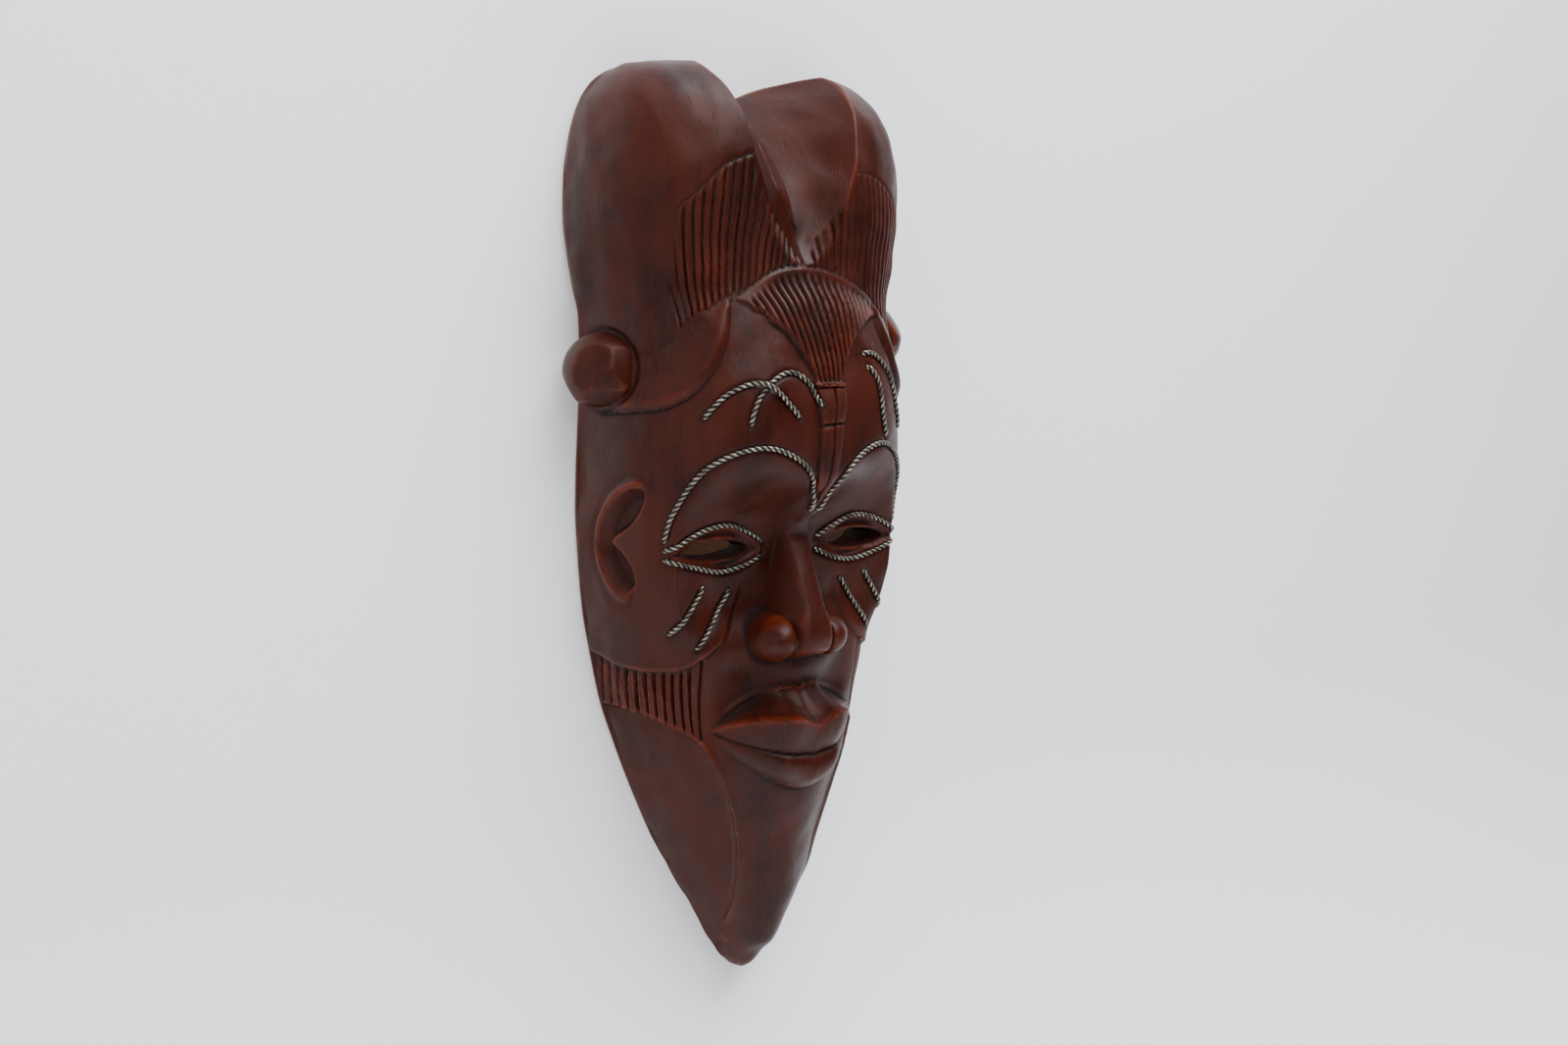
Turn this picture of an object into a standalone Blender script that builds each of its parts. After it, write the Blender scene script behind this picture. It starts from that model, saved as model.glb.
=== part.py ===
"""Carved wooden wall mask with twisted-wire inlays and a D-ring hanger.

The mask is one block of wood: a tapering face hollowed from behind, pierced by
two eye slits, under a headdress of two lobes parted by a deep notch.  Lengths
are millimetres in the design and metres in the scene.  Heights are measured up
from the chin tip, depths forward from the wall.  In the scene the wall is the
plane y = 0, the face looks along -Y, and the origin lies on the flat back,
DATUM_HEIGHT above the chin tip.
"""

import math

import bmesh
import bpy
import numpy as np
from mathutils import Matrix, Vector
from mathutils.bvhtree import BVHTree

MM = 0.001
GAP = 0.3                      # clearance between touching pieces
DATUM_HEIGHT = 335.0           # height of the origin above the chin tip
TOP_HEIGHT = 403.0             # height of the headdress above the chin tip

# Outer form of the block: (height, half width at the wall)
HALF_WIDTHS = [(0, 3), (4, 7), (12, 11), (24, 16), (46, 27), (67, 37), (89, 46.5), (111, 55),
               (130, 61.5), (150, 66), (172, 70), (195, 72), (215, 73), (236, 72.5), (255, 71.5),
               (275, 70.5), (297, 71), (311, 74), (325, 76.5), (340, 78), (355, 77.5),
               (371, 75), (385, 70.5), (394, 64.5), (400, 56), (403, 46)]
# (height, depth on the centreline) of the same form
DEPTHS = [(0, 24), (4, 30), (12, 37), (20, 45), (30, 49.5), (50, 56), (70, 59), (90, 63), (110, 66),
          (130, 63), (150, 64), (170, 70.5), (190, 78), (220, 81), (250, 83.5), (262, 83.5),
          (285, 77), (300, 71.5), (312, 66.5), (325, 65), (350, 67), (362, 66.5), (372, 65),
          (380, 62), (390, 55), (396, 48.5), (400, 42), (403, 34)]
# (height, squareness): exponent of each section's superellipse
SQUARENESS = [(0, 2.0), (100, 2.05), (130, 2.2), (160, 2.4), (300, 2.4), (325, 2.7), (403, 2.7)]

# The face is cut back under the brows: (height, depth of the cut plane)
FACE_PLANE = [(150, 52), (172, 53.5), (185, 54.3), (200, 55.5), (213, 57), (250, 60)]
# (distance from centreline, height) of the brow edge and of the foot of its slope
BROW_EDGE = [(0, 235), (6, 235), (15, 239.5), (27, 243.5), (40, 242), (50, 234.5), (57, 222),
             (61, 205), (80, 188)]
SLOPE_FOOT = [(0, 203), (10, 207), (35, 212), (55, 205), (61, 198), (80, 178)]
CHEEK_FADE = (148.0, 178.0)    # heights between which the cut plane fades out

# Notch between the two lobes: (height, depth of its valley) and (height, slope of its sides)
VALLEY = [(318, 66), (324, 62), (335, 57.5), (350, 51), (362, 41), (374, 29), (384, 13),
          (392, -3), (400, -24), (410, -50)]
NOTCH_SLOPE = [(318, 0.25), (335, 0.43), (350, 0.70), (370, 1.13), (390, 1.62), (410, 2.1)]

# Hollow at the back
HOLLOW_LOW, HOLLOW_HIGH = 26.0, 268.0
RIM = 9.5
HOLLOW_DEPTHS = [(26, 4), (40, 18), (60, 30), (100, 41), (150, 43), (200, 43), (235, 47),
                 (255, 41), (264, 26), (268, 4)]
HOLLOW_SQUARENESS = 2.6

# Eye slits
EYE_X, EYE_HEIGHT = 37.0, 202.0
EYE_HALF_WIDTH, EYE_HALF_HEIGHT = 15.0, 3.5

# Twisted wire laid on the surface
WIRE_DIAMETER = 2.7
WIRE_CLEARANCE = 0.55          # keeps the round tube off the faceted wood
WIRE_STEP = 3.6

# Hair buns: side, height, distance from the centreline, depth; and their common radius
BUNS = {"left": (-1, 275.0, 70.0, 15.5), "right": (1, 290.0, 72.0, 16.5)}
BUN_RADIUS = 16.3
LEAF_TILT = math.radians(28)   # slope of the leaf-shaped roll of hair at each temple

# D-ring hanger in a pocket at the back of the headdress
BARREL_HEIGHT = 301.0
BARREL_DEPTH = 3.0             # depth of the hinge axis behind the flat back
BARREL_RADIUS, BARREL_LENGTH = 2.4, 9.0
RING_WIRE = 2.2
RING_HALF_WIDTH, RING_LENGTH = 8.0, 17.0
POCKET_HALF_WIDTH, POCKET_DEPTH = 15.0, 6.5
POCKET_LOW, POCKET_HIGH = 280.0, 322.0
STRAP_HALF_WIDTH, STRAP_THICKNESS = 5.0, 1.2
STRAP_FOOT = 284.5
SCREW_DROPS = (6.0, 12.2)      # below the barrel
SCREW_HEAD_RADIUS, SCREW_HEAD_HEIGHT = 2.3, 1.4
SCREW_SHANK_RADIUS, SCREW_LENGTH = 1.2, 10.0


def clear_scene():
    """Remove every object that the file starts with."""
    for thing in list(bpy.data.objects):
        bpy.data.objects.remove(thing, do_unlink=True)


def collection(name):
    """Make a collection linked to the scene."""
    made = bpy.data.collections.new(name)
    bpy.context.scene.collection.children.link(made)
    return made


def material(name, colour, roughness, metallic):
    """Make a Principled BSDF material."""
    made = bpy.data.materials.new(name)
    made.use_nodes = True
    shader = made.node_tree.nodes["Principled BSDF"]
    shader.inputs["Base Color"].default_value = (*colour, 1.0)
    shader.inputs["Roughness"].default_value = roughness
    shader.inputs["Metallic"].default_value = metallic
    return made


def place(x, depth, height):
    """Scene point, in metres, of a design position in millimetres."""
    return Vector((x * MM, -depth * MM, (height - DATUM_HEIGHT) * MM))


def along(stations, at):
    """Value at a station of a smooth curve through (station, value) pairs."""
    keys = [pair[0] for pair in stations]
    values = [pair[1] for pair in stations]
    at = min(max(at, keys[0]), keys[-1])
    i = min(int(np.searchsorted(keys, at, side="right")) - 1, len(keys) - 2)
    span = keys[i + 1] - keys[i]
    slope = (values[i + 1] - values[i]) / span

    def tangent(j):
        if j == 0 or j == len(keys) - 1:
            return slope
        before = (values[j] - values[j - 1]) / (keys[j] - keys[j - 1])
        after = (values[j + 1] - values[j]) / (keys[j + 1] - keys[j])
        if before * after <= 0:
            return 0.0
        return 2 * before * after / (before + after)

    t = (at - keys[i]) / span
    start, end = tangent(i) * span, tangent(i + 1) * span
    return (values[i] * (1 + 2 * t) * (1 - t) ** 2 + start * t * (1 - t) ** 2
            + values[i + 1] * t * t * (3 - 2 * t) + end * t * t * (t - 1))


def smoothstep(low, high, at):
    """Ease from 0 at low to 1 at high."""
    t = min(max((at - low) / (high - low), 0.0), 1.0)
    return t * t * (3 - 2 * t)


def face_cut(x, height, depth):
    """Depth taken off the outer form where the face is cut back under the brow."""
    plane = along(FACE_PLANE, height)
    if depth <= plane:
        return 0.0
    edge = along(BROW_EDGE, abs(x))
    foot = along(SLOPE_FOOT, abs(x))
    under_brow = 1 - smoothstep(foot, edge, height)
    return (depth - plane) * under_brow * smoothstep(*CHEEK_FADE, height)


def section(height, half_width, depth, squareness, steps, carve=True):
    """Front curve of one horizontal section, from wall edge to wall edge."""
    points = []
    for i in range(steps + 1):
        angle = math.pi * i / steps
        cosine, sine = math.cos(angle), max(math.sin(angle), 0.0)
        x = -math.copysign(half_width * abs(cosine) ** (2 / squareness), cosine)
        front = depth * sine ** (2 / squareness) if 0 < i < steps else 0.0
        if carve:
            front -= face_cut(x, height, front)
        points.append(place(x, front, height))
    return points


def loft(name, rows, into):
    """Closed solid through rows of equal length, with flat ends."""
    mesh = bmesh.new()
    loops = [[mesh.verts.new(point) for point in row] for row in rows]
    count = len(rows[0])
    for lower, upper in zip(loops, loops[1:]):
        for i in range(count):
            j = (i + 1) % count
            mesh.faces.new((lower[i], lower[j], upper[j], upper[i]))
    mesh.faces.new(reversed(loops[0]))
    mesh.faces.new(loops[-1])
    bmesh.ops.recalc_face_normals(mesh, faces=mesh.faces)
    return add_mesh(name, mesh, into)


def add_mesh(name, mesh, into):
    """Store a bmesh as an object in a collection."""
    data = bpy.data.meshes.new(name)
    mesh.to_mesh(data)
    mesh.free()
    made = bpy.data.objects.new(name, data)
    into.objects.link(made)
    return made


def as_guide(thing):
    """Mark an object as a cutter or a guide."""
    thing.hide_render = True
    thing.display_type = "WIRE"
    return thing


def combine(target, other, operation):
    """Add an exact Boolean modifier."""
    modifier = target.modifiers.new(f"{operation.lower()} {other.name}", "BOOLEAN")
    modifier.operation = operation
    modifier.solver = "EXACT"
    modifier.object = other
    return modifier


def box(name, low, high, into):
    """Axis-aligned box between two scene points."""
    mesh = bmesh.new()
    bmesh.ops.create_cube(mesh, size=1.0)
    low, high = Vector(low), Vector(high)
    size = Vector([abs(high[i] - low[i]) for i in range(3)])
    centre = (low + high) / 2
    for vertex in mesh.verts:
        vertex.co = centre + Vector([vertex.co[i] * size[i] for i in range(3)])
    return add_mesh(name, mesh, into)


def ball(name, centre, radii, into, turn=None, segments=20, rings=12):
    """Ellipsoid with radii in millimetres, turned by an optional rotation."""
    mesh = bmesh.new()
    bmesh.ops.create_uvsphere(mesh, u_segments=segments, v_segments=rings, radius=1.0)
    matrix = Matrix.Translation(centre) @ (turn or Matrix.Identity(4))
    matrix = matrix @ Matrix.Diagonal([radius * MM for radius in radii] + [1.0])
    bmesh.ops.transform(mesh, matrix=matrix, verts=mesh.verts)
    return add_mesh(name, mesh, into)


def cylinder(name, start, end, radius, into, segments=20, end_radius=None):
    """Cylinder or cone between two scene points."""
    mesh = bmesh.new()
    axis = end - start
    turn = axis.to_track_quat("Z", "Y").to_matrix().to_4x4()
    far = radius if end_radius is None else end_radius
    bmesh.ops.create_cone(mesh, cap_ends=True, segments=segments, radius1=radius * MM,
                          radius2=far * MM, depth=axis.length)
    bmesh.ops.transform(mesh, matrix=Matrix.Translation((start + end) / 2) @ turn,
                        verts=mesh.verts)
    return add_mesh(name, mesh, into)


def tube(name, points, radius, into, closed=False, radii=None):
    """Round bar along points, with filled ends unless it is closed."""
    data = bpy.data.curves.new(name, "CURVE")
    data.dimensions = "3D"
    data.bevel_depth = radius * MM
    data.bevel_resolution = 2
    data.use_fill_caps = True
    spline = data.splines.new("POLY")
    spline.points.add(len(points) - 1)
    for i, point in enumerate(points):
        spline.points[i].co = (*point, 1.0)
        spline.points[i].radius = radii[i] if radii else 1.0
    spline.use_cyclic_u = closed
    made = bpy.data.objects.new(name, data)
    into.objects.link(made)
    return made


def curve_to_mesh(thing, into):
    """Replace a curve object by a welded mesh object of the same name."""
    depsgraph = bpy.context.evaluated_depsgraph_get()
    data = bpy.data.meshes.new_from_object(thing.evaluated_get(depsgraph))
    mesh = bmesh.new()
    mesh.from_mesh(data)
    bmesh.ops.remove_doubles(mesh, verts=mesh.verts, dist=1e-6)
    bmesh.ops.recalc_face_normals(mesh, faces=mesh.faces)
    name = thing.name
    matrix = thing.matrix_world.copy()
    bpy.data.objects.remove(thing, do_unlink=True)
    bpy.data.meshes.remove(data)
    made = add_mesh(name, mesh, into)
    made.matrix_world = matrix
    return made


def smooth_route(points, step):
    """Catmull-Rom curve through 2D points, sampled about every step."""
    knots = [Vector(point) for point in points]
    ends = [2 * knots[0] - knots[1]] + knots + [2 * knots[-1] - knots[-2]]
    fine = []
    for a, b, c, d in zip(ends, ends[1:], ends[2:], ends[3:]):
        for i in range(16):
            t = i / 16
            fine.append(0.5 * (2 * b + (c - a) * t + (2 * a - 5 * b + 4 * c - d) * t ** 2
                               + (3 * b - a - 3 * c + d) * t ** 3))
    fine.append(knots[-1])
    lengths = [0.0]
    for before, after in zip(fine, fine[1:]):
        lengths.append(lengths[-1] + (after - before).length)
    count = max(round(lengths[-1] / step), 2)
    route = []
    for i in range(count + 1):
        target = lengths[-1] * i / count
        j = min(max(int(np.searchsorted(lengths, target)), 1), len(fine) - 1)
        span = lengths[j] - lengths[j - 1]
        t = (target - lengths[j - 1]) / span
        route.append(fine[j - 1].lerp(fine[j], t))
    return route


def block(into):
    """The lofted block of the whole mask, before it is notched and hollowed."""
    heights = [*np.linspace(0, 24, 5), *np.linspace(33, 186, 18), *np.linspace(192, 246, 13),
               *np.linspace(255, 381, 15), 387, 392, 396, 400, TOP_HEIGHT]
    rows = [section(height, along(HALF_WIDTHS, height), along(DEPTHS, height),
                    along(SQUARENESS, height), 40) for height in heights]
    return loft("carved_body", rows, into)


def notch(into):
    """Wedge that parts the headdress into two lobes."""
    reach = 74.0
    rows = []
    for height in np.linspace(320, 410, 37):
        valley = along(VALLEY, height)
        spread = (reach - valley) / along(NOTCH_SLOPE, height)
        rows.append([place(0, valley, height), place(spread, reach, height),
                     place(-spread, reach, height)])
    return as_guide(loft("notch_cutter", rows, into))


def hollow(into):
    """Rounded scoop behind the face."""
    rows = []
    for height in np.linspace(HOLLOW_LOW, HOLLOW_HIGH, 23):
        half_width = along(HALF_WIDTHS, height) - RIM
        ends = min(height - HOLLOW_LOW, HOLLOW_HIGH - height)
        half_width *= 0.55 + 0.45 * smoothstep(0, 26, ends)
        row = section(height, half_width, along(HOLLOW_DEPTHS, height), HOLLOW_SQUARENESS, 22,
                      carve=False)
        row[0].y = row[-1].y = 2 * MM
        rows.append(row)
    return as_guide(loft("hollow_cutter", rows, into))


def nose(into):
    """Squared ridge of the nose and its two round wings."""
    stations = [(208, 7.0, 62), (200, 6.5, 64.5), (186, 7.0, 72), (172, 9.0, 78.5), (163, 9.5, 79),
                (157.5, 8.5, 75)]
    rows = []
    for height, half_width, depth in stations:
        shoulder = depth - 0.35 * half_width
        rows.append([place(-half_width - 2, 45, height), place(half_width + 2, 45, height),
                     place(half_width, shoulder, height), place(0.45 * half_width, depth, height),
                     place(-0.45 * half_width, depth, height), place(-half_width, shoulder, height)])
    pieces = [as_guide(loft("nose_ridge", rows[::-1], into))]
    for side, word in ((-1, "left"), (1, "right")):
        centre = place(side * 13.0, 65, 163.5)
        pieces.append(as_guide(ball(f"nose_wing_{word}", centre, (10, 12, 10), into)))
    return pieces


def lips(into):
    """Two full lips, thick at the middle and tapering to the corners."""
    upper = [(-37, 51, 126), (-27, 57, 129), (-14, 64, 130), (0, 67.5, 128.5), (14, 64, 130),
             (27, 57, 129), (37, 51, 126)]
    lower = [(-34, 50, 119), (-24, 57, 112), (-12, 61, 108.5), (0, 63, 107.5), (12, 61, 108.5),
             (24, 57, 112), (34, 50, 119)]
    made = []
    for name, points, radius in (("upper_lip", upper, 10.5), ("lower_lip", lower, 10.5)):
        radii = [0.25, 0.75, 0.95, 1.0, 0.95, 0.75, 0.25]
        lip = tube(name, [place(*point) for point in points], radius, into, radii=radii)
        made.append(as_guide(curve_to_mesh(lip, into)))
    return made


def side_details(into):
    """Hair bun, temple leaf and ear rim of each side."""
    made = []
    ear = [(64.5, 46, 229), (68, 36, 229), (71.5, 25, 221), (73, 17, 207), (72.5, 16.5, 197),
           (71, 20, 188), (68, 27, 182)]
    for word, (side, height, out, depth) in BUNS.items():
        radii = (BUN_RADIUS, depth - 0.5, BUN_RADIUS)
        made.append(as_guide(ball(f"bun_{word}", place(side * out, depth, height), radii, into)))
        facing = Vector((side * 0.72, -0.66, 0.12)).to_track_quat("Z", "Y").to_matrix().to_4x4()
        tilt = Matrix.Rotation(-side * LEAF_TILT, 4, "Z")
        leaf = ball(f"temple_leaf_{word}", place(side * 53, 54.5, 281), (24, 15, 6.5), into,
                    turn=facing @ tilt)
        made.append(as_guide(leaf))
        points = [place(side * x, depth, height) for x, depth, height in ear]
        rim = tube(f"ear_rim_{word}", points, 2.6, into, radii=[0.6, 1, 1, 1, 1, 1, 0.6])
        made.append(as_guide(curve_to_mesh(rim, into)))
    return made


def braid(into):
    """Gathered hair that runs from the crown to the brows."""
    stations = [(300, 20, 73.5), (288, 12, 79), (272, 7.5, 86), (252, 7, 85), (238, 4.5, 83),
                (220, 1.6, 78)]
    rows = []
    for height, half_width, depth in stations:
        rows.append([place(-half_width, depth - 8, height), place(half_width, depth - 8, height),
                     place(0.7 * half_width, depth, height), place(-0.7 * half_width, depth, height)])
    return as_guide(loft("braid", rows[::-1], into))


def eye_cutters(into):
    """Flat oval bars that pierce the eye slits."""
    made = []
    for side, word in ((-1, "left"), (1, "right")):
        cutter = cylinder(f"eye_cutter_{word}", place(side * EYE_X, 20, EYE_HEIGHT),
                          place(side * EYE_X, 90, EYE_HEIGHT), 1.0, into, segments=20)
        middle = place(side * EYE_X, 0, EYE_HEIGHT)
        for vertex in cutter.data.vertices:
            vertex.co.x = middle.x + (vertex.co.x - middle.x) * EYE_HALF_WIDTH
            vertex.co.z = middle.z + (vertex.co.z - middle.z) * EYE_HALF_HEIGHT
        made.append(as_guide(cutter))
    return made


def pocket(into):
    """Shallow pocket for the hanger and its two pilot holes."""
    floor = box("pocket_cutter", place(-POCKET_HALF_WIDTH, POCKET_DEPTH, POCKET_LOW),
                place(POCKET_HALF_WIDTH, -2, POCKET_HIGH), into)
    made = [as_guide(floor)]
    for number, drop in enumerate(SCREW_DROPS, 1):
        height = BARREL_HEIGHT - drop
        tip = strap_face() - SCREW_LENGTH - 1.0
        made.append(as_guide(cylinder(f"pilot_hole_{number}", place(0, POCKET_DEPTH - 1, height),
                                      place(0, -tip, height), SCREW_SHANK_RADIUS + GAP, into)))
    return made


def strap_face():
    """Position along y, in millimetres, of the strap's outer face (negative is into the wood)."""
    return -(POCKET_DEPTH - GAP - STRAP_THICKNESS)


def carved_body(into, guides, finish):
    """The block with everything that is carved out of it or into it."""
    body = block(into)
    for piece in [*nose(guides), *lips(guides), *side_details(guides), braid(guides)]:
        combine(body, piece, "UNION")
    for piece in [notch(guides), hollow(guides), *eye_cutters(guides), *pocket(guides)]:
        combine(body, piece, "DIFFERENCE")
    body.data.materials.append(finish)
    return body


def mirrored(points):
    """Route on the other side of the face."""
    return [(-x, height) for x, height in points]


def wire_routes():
    """Front-view route of every wire, as (x, height) points, with lifts where two cross."""
    brow = [(61, 206.6), (58.4, 220), (50, 236.8), (38, 244.6), (26, 245.4), (12, 238.2),
            (4.2, 226), (2.1, 217.5)]
    eye_upper = [(60.8, 203.1), (48, 210), (35, 212.8), (24, 209.6), (14.5, 204.2)]
    eye_lower = [(60.6, 199.4), (48, 195.6), (35, 192.7), (24, 194.6), (14.5, 198.7)]
    cheek_inner = [(29.7, 184.7), (37.6, 172.6), (45.9, 160.8)]
    cheek_outer = [(42.5, 186.9), (49, 177), (55.9, 167.1)]
    routes = {}
    for word, turn in (("left", mirrored), ("right", list)):
        routes[f"brow_wire_{word}"] = turn(brow)
        routes[f"eye_wire_upper_{word}"] = turn(eye_upper)
        routes[f"eye_wire_lower_{word}"] = turn(eye_lower)
        routes[f"cheek_wire_inner_{word}"] = turn(cheek_inner)
        routes[f"cheek_wire_outer_{word}"] = turn(cheek_outer)
    routes["forehead_wire_outer_left"] = [(-50.8, 257.6), (-44, 266.5), (-33, 271.5), (-24, 267),
                                          (-15.3, 257.6)]
    routes["forehead_wire_inner_left"] = [(-35.6, 255), (-33, 264.5), (-26, 272.5), (-17.5, 276),
                                          (-10.1, 272), (-5.8, 262.2)]
    routes["forehead_wire_outer_right"] = [(22.5, 283.6), (30.5, 283), (39, 275.5), (45.4, 262),
                                           (50.4, 250.2)]
    routes["forehead_wire_inner_right"] = [(24.3, 278.6), (29, 272.5), (31.2, 260), (35.1, 248)]
    return routes


WIRE_CROSSING = (-28.6, 270.2)     # where the outer left forehead wire rides over the inner one
CROSSING_WIRE = "forehead_wire_outer_left"


def lift_clear(route, tree, reach):
    """Push a route's points out until it keeps its distance from the wood."""
    for _ in range(6):
        for i in range(len(route) - 1):
            for t in (0.0, 0.25, 0.5, 0.75, 1.0):
                spot = route[i].lerp(route[i + 1], t)
                nearest, _, _, distance = tree.find_nearest(spot)
                if distance < reach:
                    push = (spot - nearest) * ((reach - distance) / distance)
                    route[i] += push * (1 - t)
                    route[i + 1] += push * t


def wires(body, into, finish):
    """One tube for each wire, laid on the carved surface."""
    tree = BVHTree.FromObject(body, bpy.context.evaluated_depsgraph_get())
    radius = WIRE_DIAMETER / 2
    crossing = Vector(WIRE_CROSSING)
    for name, points in wire_routes().items():
        route = []
        for spot in smooth_route(points, WIRE_STEP):
            start = place(spot.x, 150, spot.y)
            hit, normal, _, _ = tree.ray_cast(start, Vector((0, 1, 0)))
            rise = radius + WIRE_CLEARANCE
            if name == CROSSING_WIRE:
                rise += (WIRE_DIAMETER + GAP) * math.exp(-((spot - crossing).length / 7) ** 2)
            route.append(hit + normal * rise * MM)
        lift_clear(route, tree, (radius + WIRE_CLEARANCE) * MM)
        wire = tube(name, route, radius, into)
        wire.data.materials.append(finish)


def hanger_strap(into, guides, finish):
    """Plate with a rolled barrel that carries the ring."""
    face = strap_face()
    strap = box("hanger_strap", place(-STRAP_HALF_WIDTH, -face + STRAP_THICKNESS, STRAP_FOOT),
                place(STRAP_HALF_WIDTH, -face, BARREL_HEIGHT), into)
    half = BARREL_LENGTH / 2
    barrel = cylinder("strap_barrel", place(-half, BARREL_DEPTH, BARREL_HEIGHT),
                      place(half, BARREL_DEPTH, BARREL_HEIGHT), BARREL_RADIUS, guides)
    combine(strap, as_guide(barrel), "UNION")
    bore = cylinder("barrel_bore", place(-half - 2, BARREL_DEPTH, BARREL_HEIGHT),
                    place(half + 2, BARREL_DEPTH, BARREL_HEIGHT), RING_WIRE / 2 + GAP, guides)
    combine(strap, as_guide(bore), "DIFFERENCE")
    for number, drop in enumerate(SCREW_DROPS, 1):
        height = BARREL_HEIGHT - drop
        hole = cylinder(f"strap_hole_{number}", place(0, -face + 3, height),
                        place(0, -face - 1, height), SCREW_SHANK_RADIUS + GAP, guides)
        combine(strap, as_guide(hole), "DIFFERENCE")
    strap.data.materials.append(finish)


def hanger_screws(into, guides, finish):
    """Two pan-head screws with a cross slot."""
    seat = -strap_face() - GAP
    for number, drop in enumerate(SCREW_DROPS, 1):
        height = BARREL_HEIGHT - drop
        screw = cylinder(f"hanger_screw_{number}", place(0, seat, height),
                         place(0, seat - SCREW_HEAD_HEIGHT, height), SCREW_HEAD_RADIUS, into,
                         end_radius=0.72 * SCREW_HEAD_RADIUS)
        shank = cylinder(f"screw_shank_{number}", place(0, seat - 0.6, height),
                         place(0, seat + SCREW_LENGTH, height), SCREW_SHANK_RADIUS, guides,
                         end_radius=0.5 * SCREW_SHANK_RADIUS)
        combine(screw, as_guide(shank), "UNION")
        for turn, (across, along_height) in enumerate(((1.3, 0.3), (0.3, 1.3))):
            slot = box(f"screw_slot_{number}_{turn}", place(-across, seat - 0.8, height - along_height),
                       place(across, seat - 3, height + along_height), guides)
            combine(screw, as_guide(slot), "DIFFERENCE")
        screw.data.materials.append(finish)


def hanging_ring(into, finish):
    """D-shaped wire ring; its straight bar runs through the barrel, on the hinge axis."""
    arc_radius = RING_HALF_WIDTH
    legs = RING_LENGTH - RING_WIRE / 2 - arc_radius
    outline = [(x, 0.0) for x in np.linspace(-arc_radius + 1.5, arc_radius - 1.5, 5)]
    outline.append((arc_radius - 0.4, -0.5))
    outline.append((arc_radius, -1.8))
    for i in range(13):
        angle = math.pi * i / 12
        outline.append((arc_radius * math.cos(angle), -legs - arc_radius * math.sin(angle)))
    outline.append((-arc_radius, -1.8))
    outline.append((-arc_radius + 0.4, -0.5))
    points = [Vector((x * MM, 0, height * MM)) for x, height in outline]
    ring = tube("hanging_ring", points, RING_WIRE / 2, into, closed=True)
    ring.location = place(0, BARREL_DEPTH, BARREL_HEIGHT)
    ring.data.materials.append(finish)


def build():
    """Make the whole mask."""
    clear_scene()
    parts = collection("carved_wooden_mask")
    guides = collection("cutters")
    wood = material("stained_wood", (0.115, 0.030, 0.014), 0.42, 0.0)
    twisted = material("twisted_wire", (0.36, 0.34, 0.31), 0.38, 1.0)
    brass = material("hanger_brass", (0.60, 0.44, 0.20), 0.35, 1.0)
    steel = material("screw_steel", (0.55, 0.55, 0.56), 0.35, 1.0)
    body = carved_body(parts, guides, wood)
    wires(body, parts, twisted)
    hanger_strap(parts, guides, brass)
    hanger_screws(parts, guides, steel)
    hanging_ring(parts, brass)
    body.data.shade_smooth()
    body.data.set_sharp_from_angle(angle=math.radians(35))


build()
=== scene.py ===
"""Looks of a carved wooden wall mask with twisted-wire inlays.

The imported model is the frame.  This script re-carves the block as one fine mesh,
lays real two-strand wires in grooves on it, makes the hanger at the back, and gives
every piece a procedural finish.  Design lengths are millimetres: x to the right,
depth forward from the wall, height up from the chin tip.  In the scene they are
metres, with the wall at y = 0 and the face looking along -Y.
"""

import logging
import math
from collections.abc import Sequence
from dataclasses import dataclass, field
from enum import Enum

import bmesh
import bpy
import numpy as np
from mathutils import Matrix, Vector


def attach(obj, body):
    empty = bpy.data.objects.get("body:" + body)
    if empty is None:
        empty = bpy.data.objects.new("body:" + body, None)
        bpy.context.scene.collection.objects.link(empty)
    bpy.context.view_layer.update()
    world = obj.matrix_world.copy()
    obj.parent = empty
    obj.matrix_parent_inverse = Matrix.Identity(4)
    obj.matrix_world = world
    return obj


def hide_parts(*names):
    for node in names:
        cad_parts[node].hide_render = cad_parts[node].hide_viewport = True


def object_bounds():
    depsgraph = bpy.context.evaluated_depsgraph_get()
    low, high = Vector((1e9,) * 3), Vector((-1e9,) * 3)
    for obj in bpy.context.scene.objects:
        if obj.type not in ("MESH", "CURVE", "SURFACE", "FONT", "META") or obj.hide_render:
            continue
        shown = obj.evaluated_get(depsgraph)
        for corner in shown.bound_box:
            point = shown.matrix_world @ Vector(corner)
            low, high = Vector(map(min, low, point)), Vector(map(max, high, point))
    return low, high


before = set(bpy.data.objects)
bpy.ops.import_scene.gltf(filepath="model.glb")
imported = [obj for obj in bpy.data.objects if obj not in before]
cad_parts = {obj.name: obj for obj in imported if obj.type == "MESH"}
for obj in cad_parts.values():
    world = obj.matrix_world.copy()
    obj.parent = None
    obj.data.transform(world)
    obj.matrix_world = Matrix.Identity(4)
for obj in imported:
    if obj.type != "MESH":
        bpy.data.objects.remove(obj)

LOG = logging.getLogger("carved_mask")
CAD_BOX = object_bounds()

MM = 0.001
DATUM_HEIGHT = 335.0
TOP_HEIGHT = 403.0
FAR = 1000.0
Stations = Sequence[tuple[float, float]]
Colour = tuple[float, float, float, float]
Array = np.ndarray


class Side(Enum):
    """The viewer's left and right; the value is the sign of x."""

    LEFT = -1
    RIGHT = 1


# ---------------------------------------------------------------- curves and shaping

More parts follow.
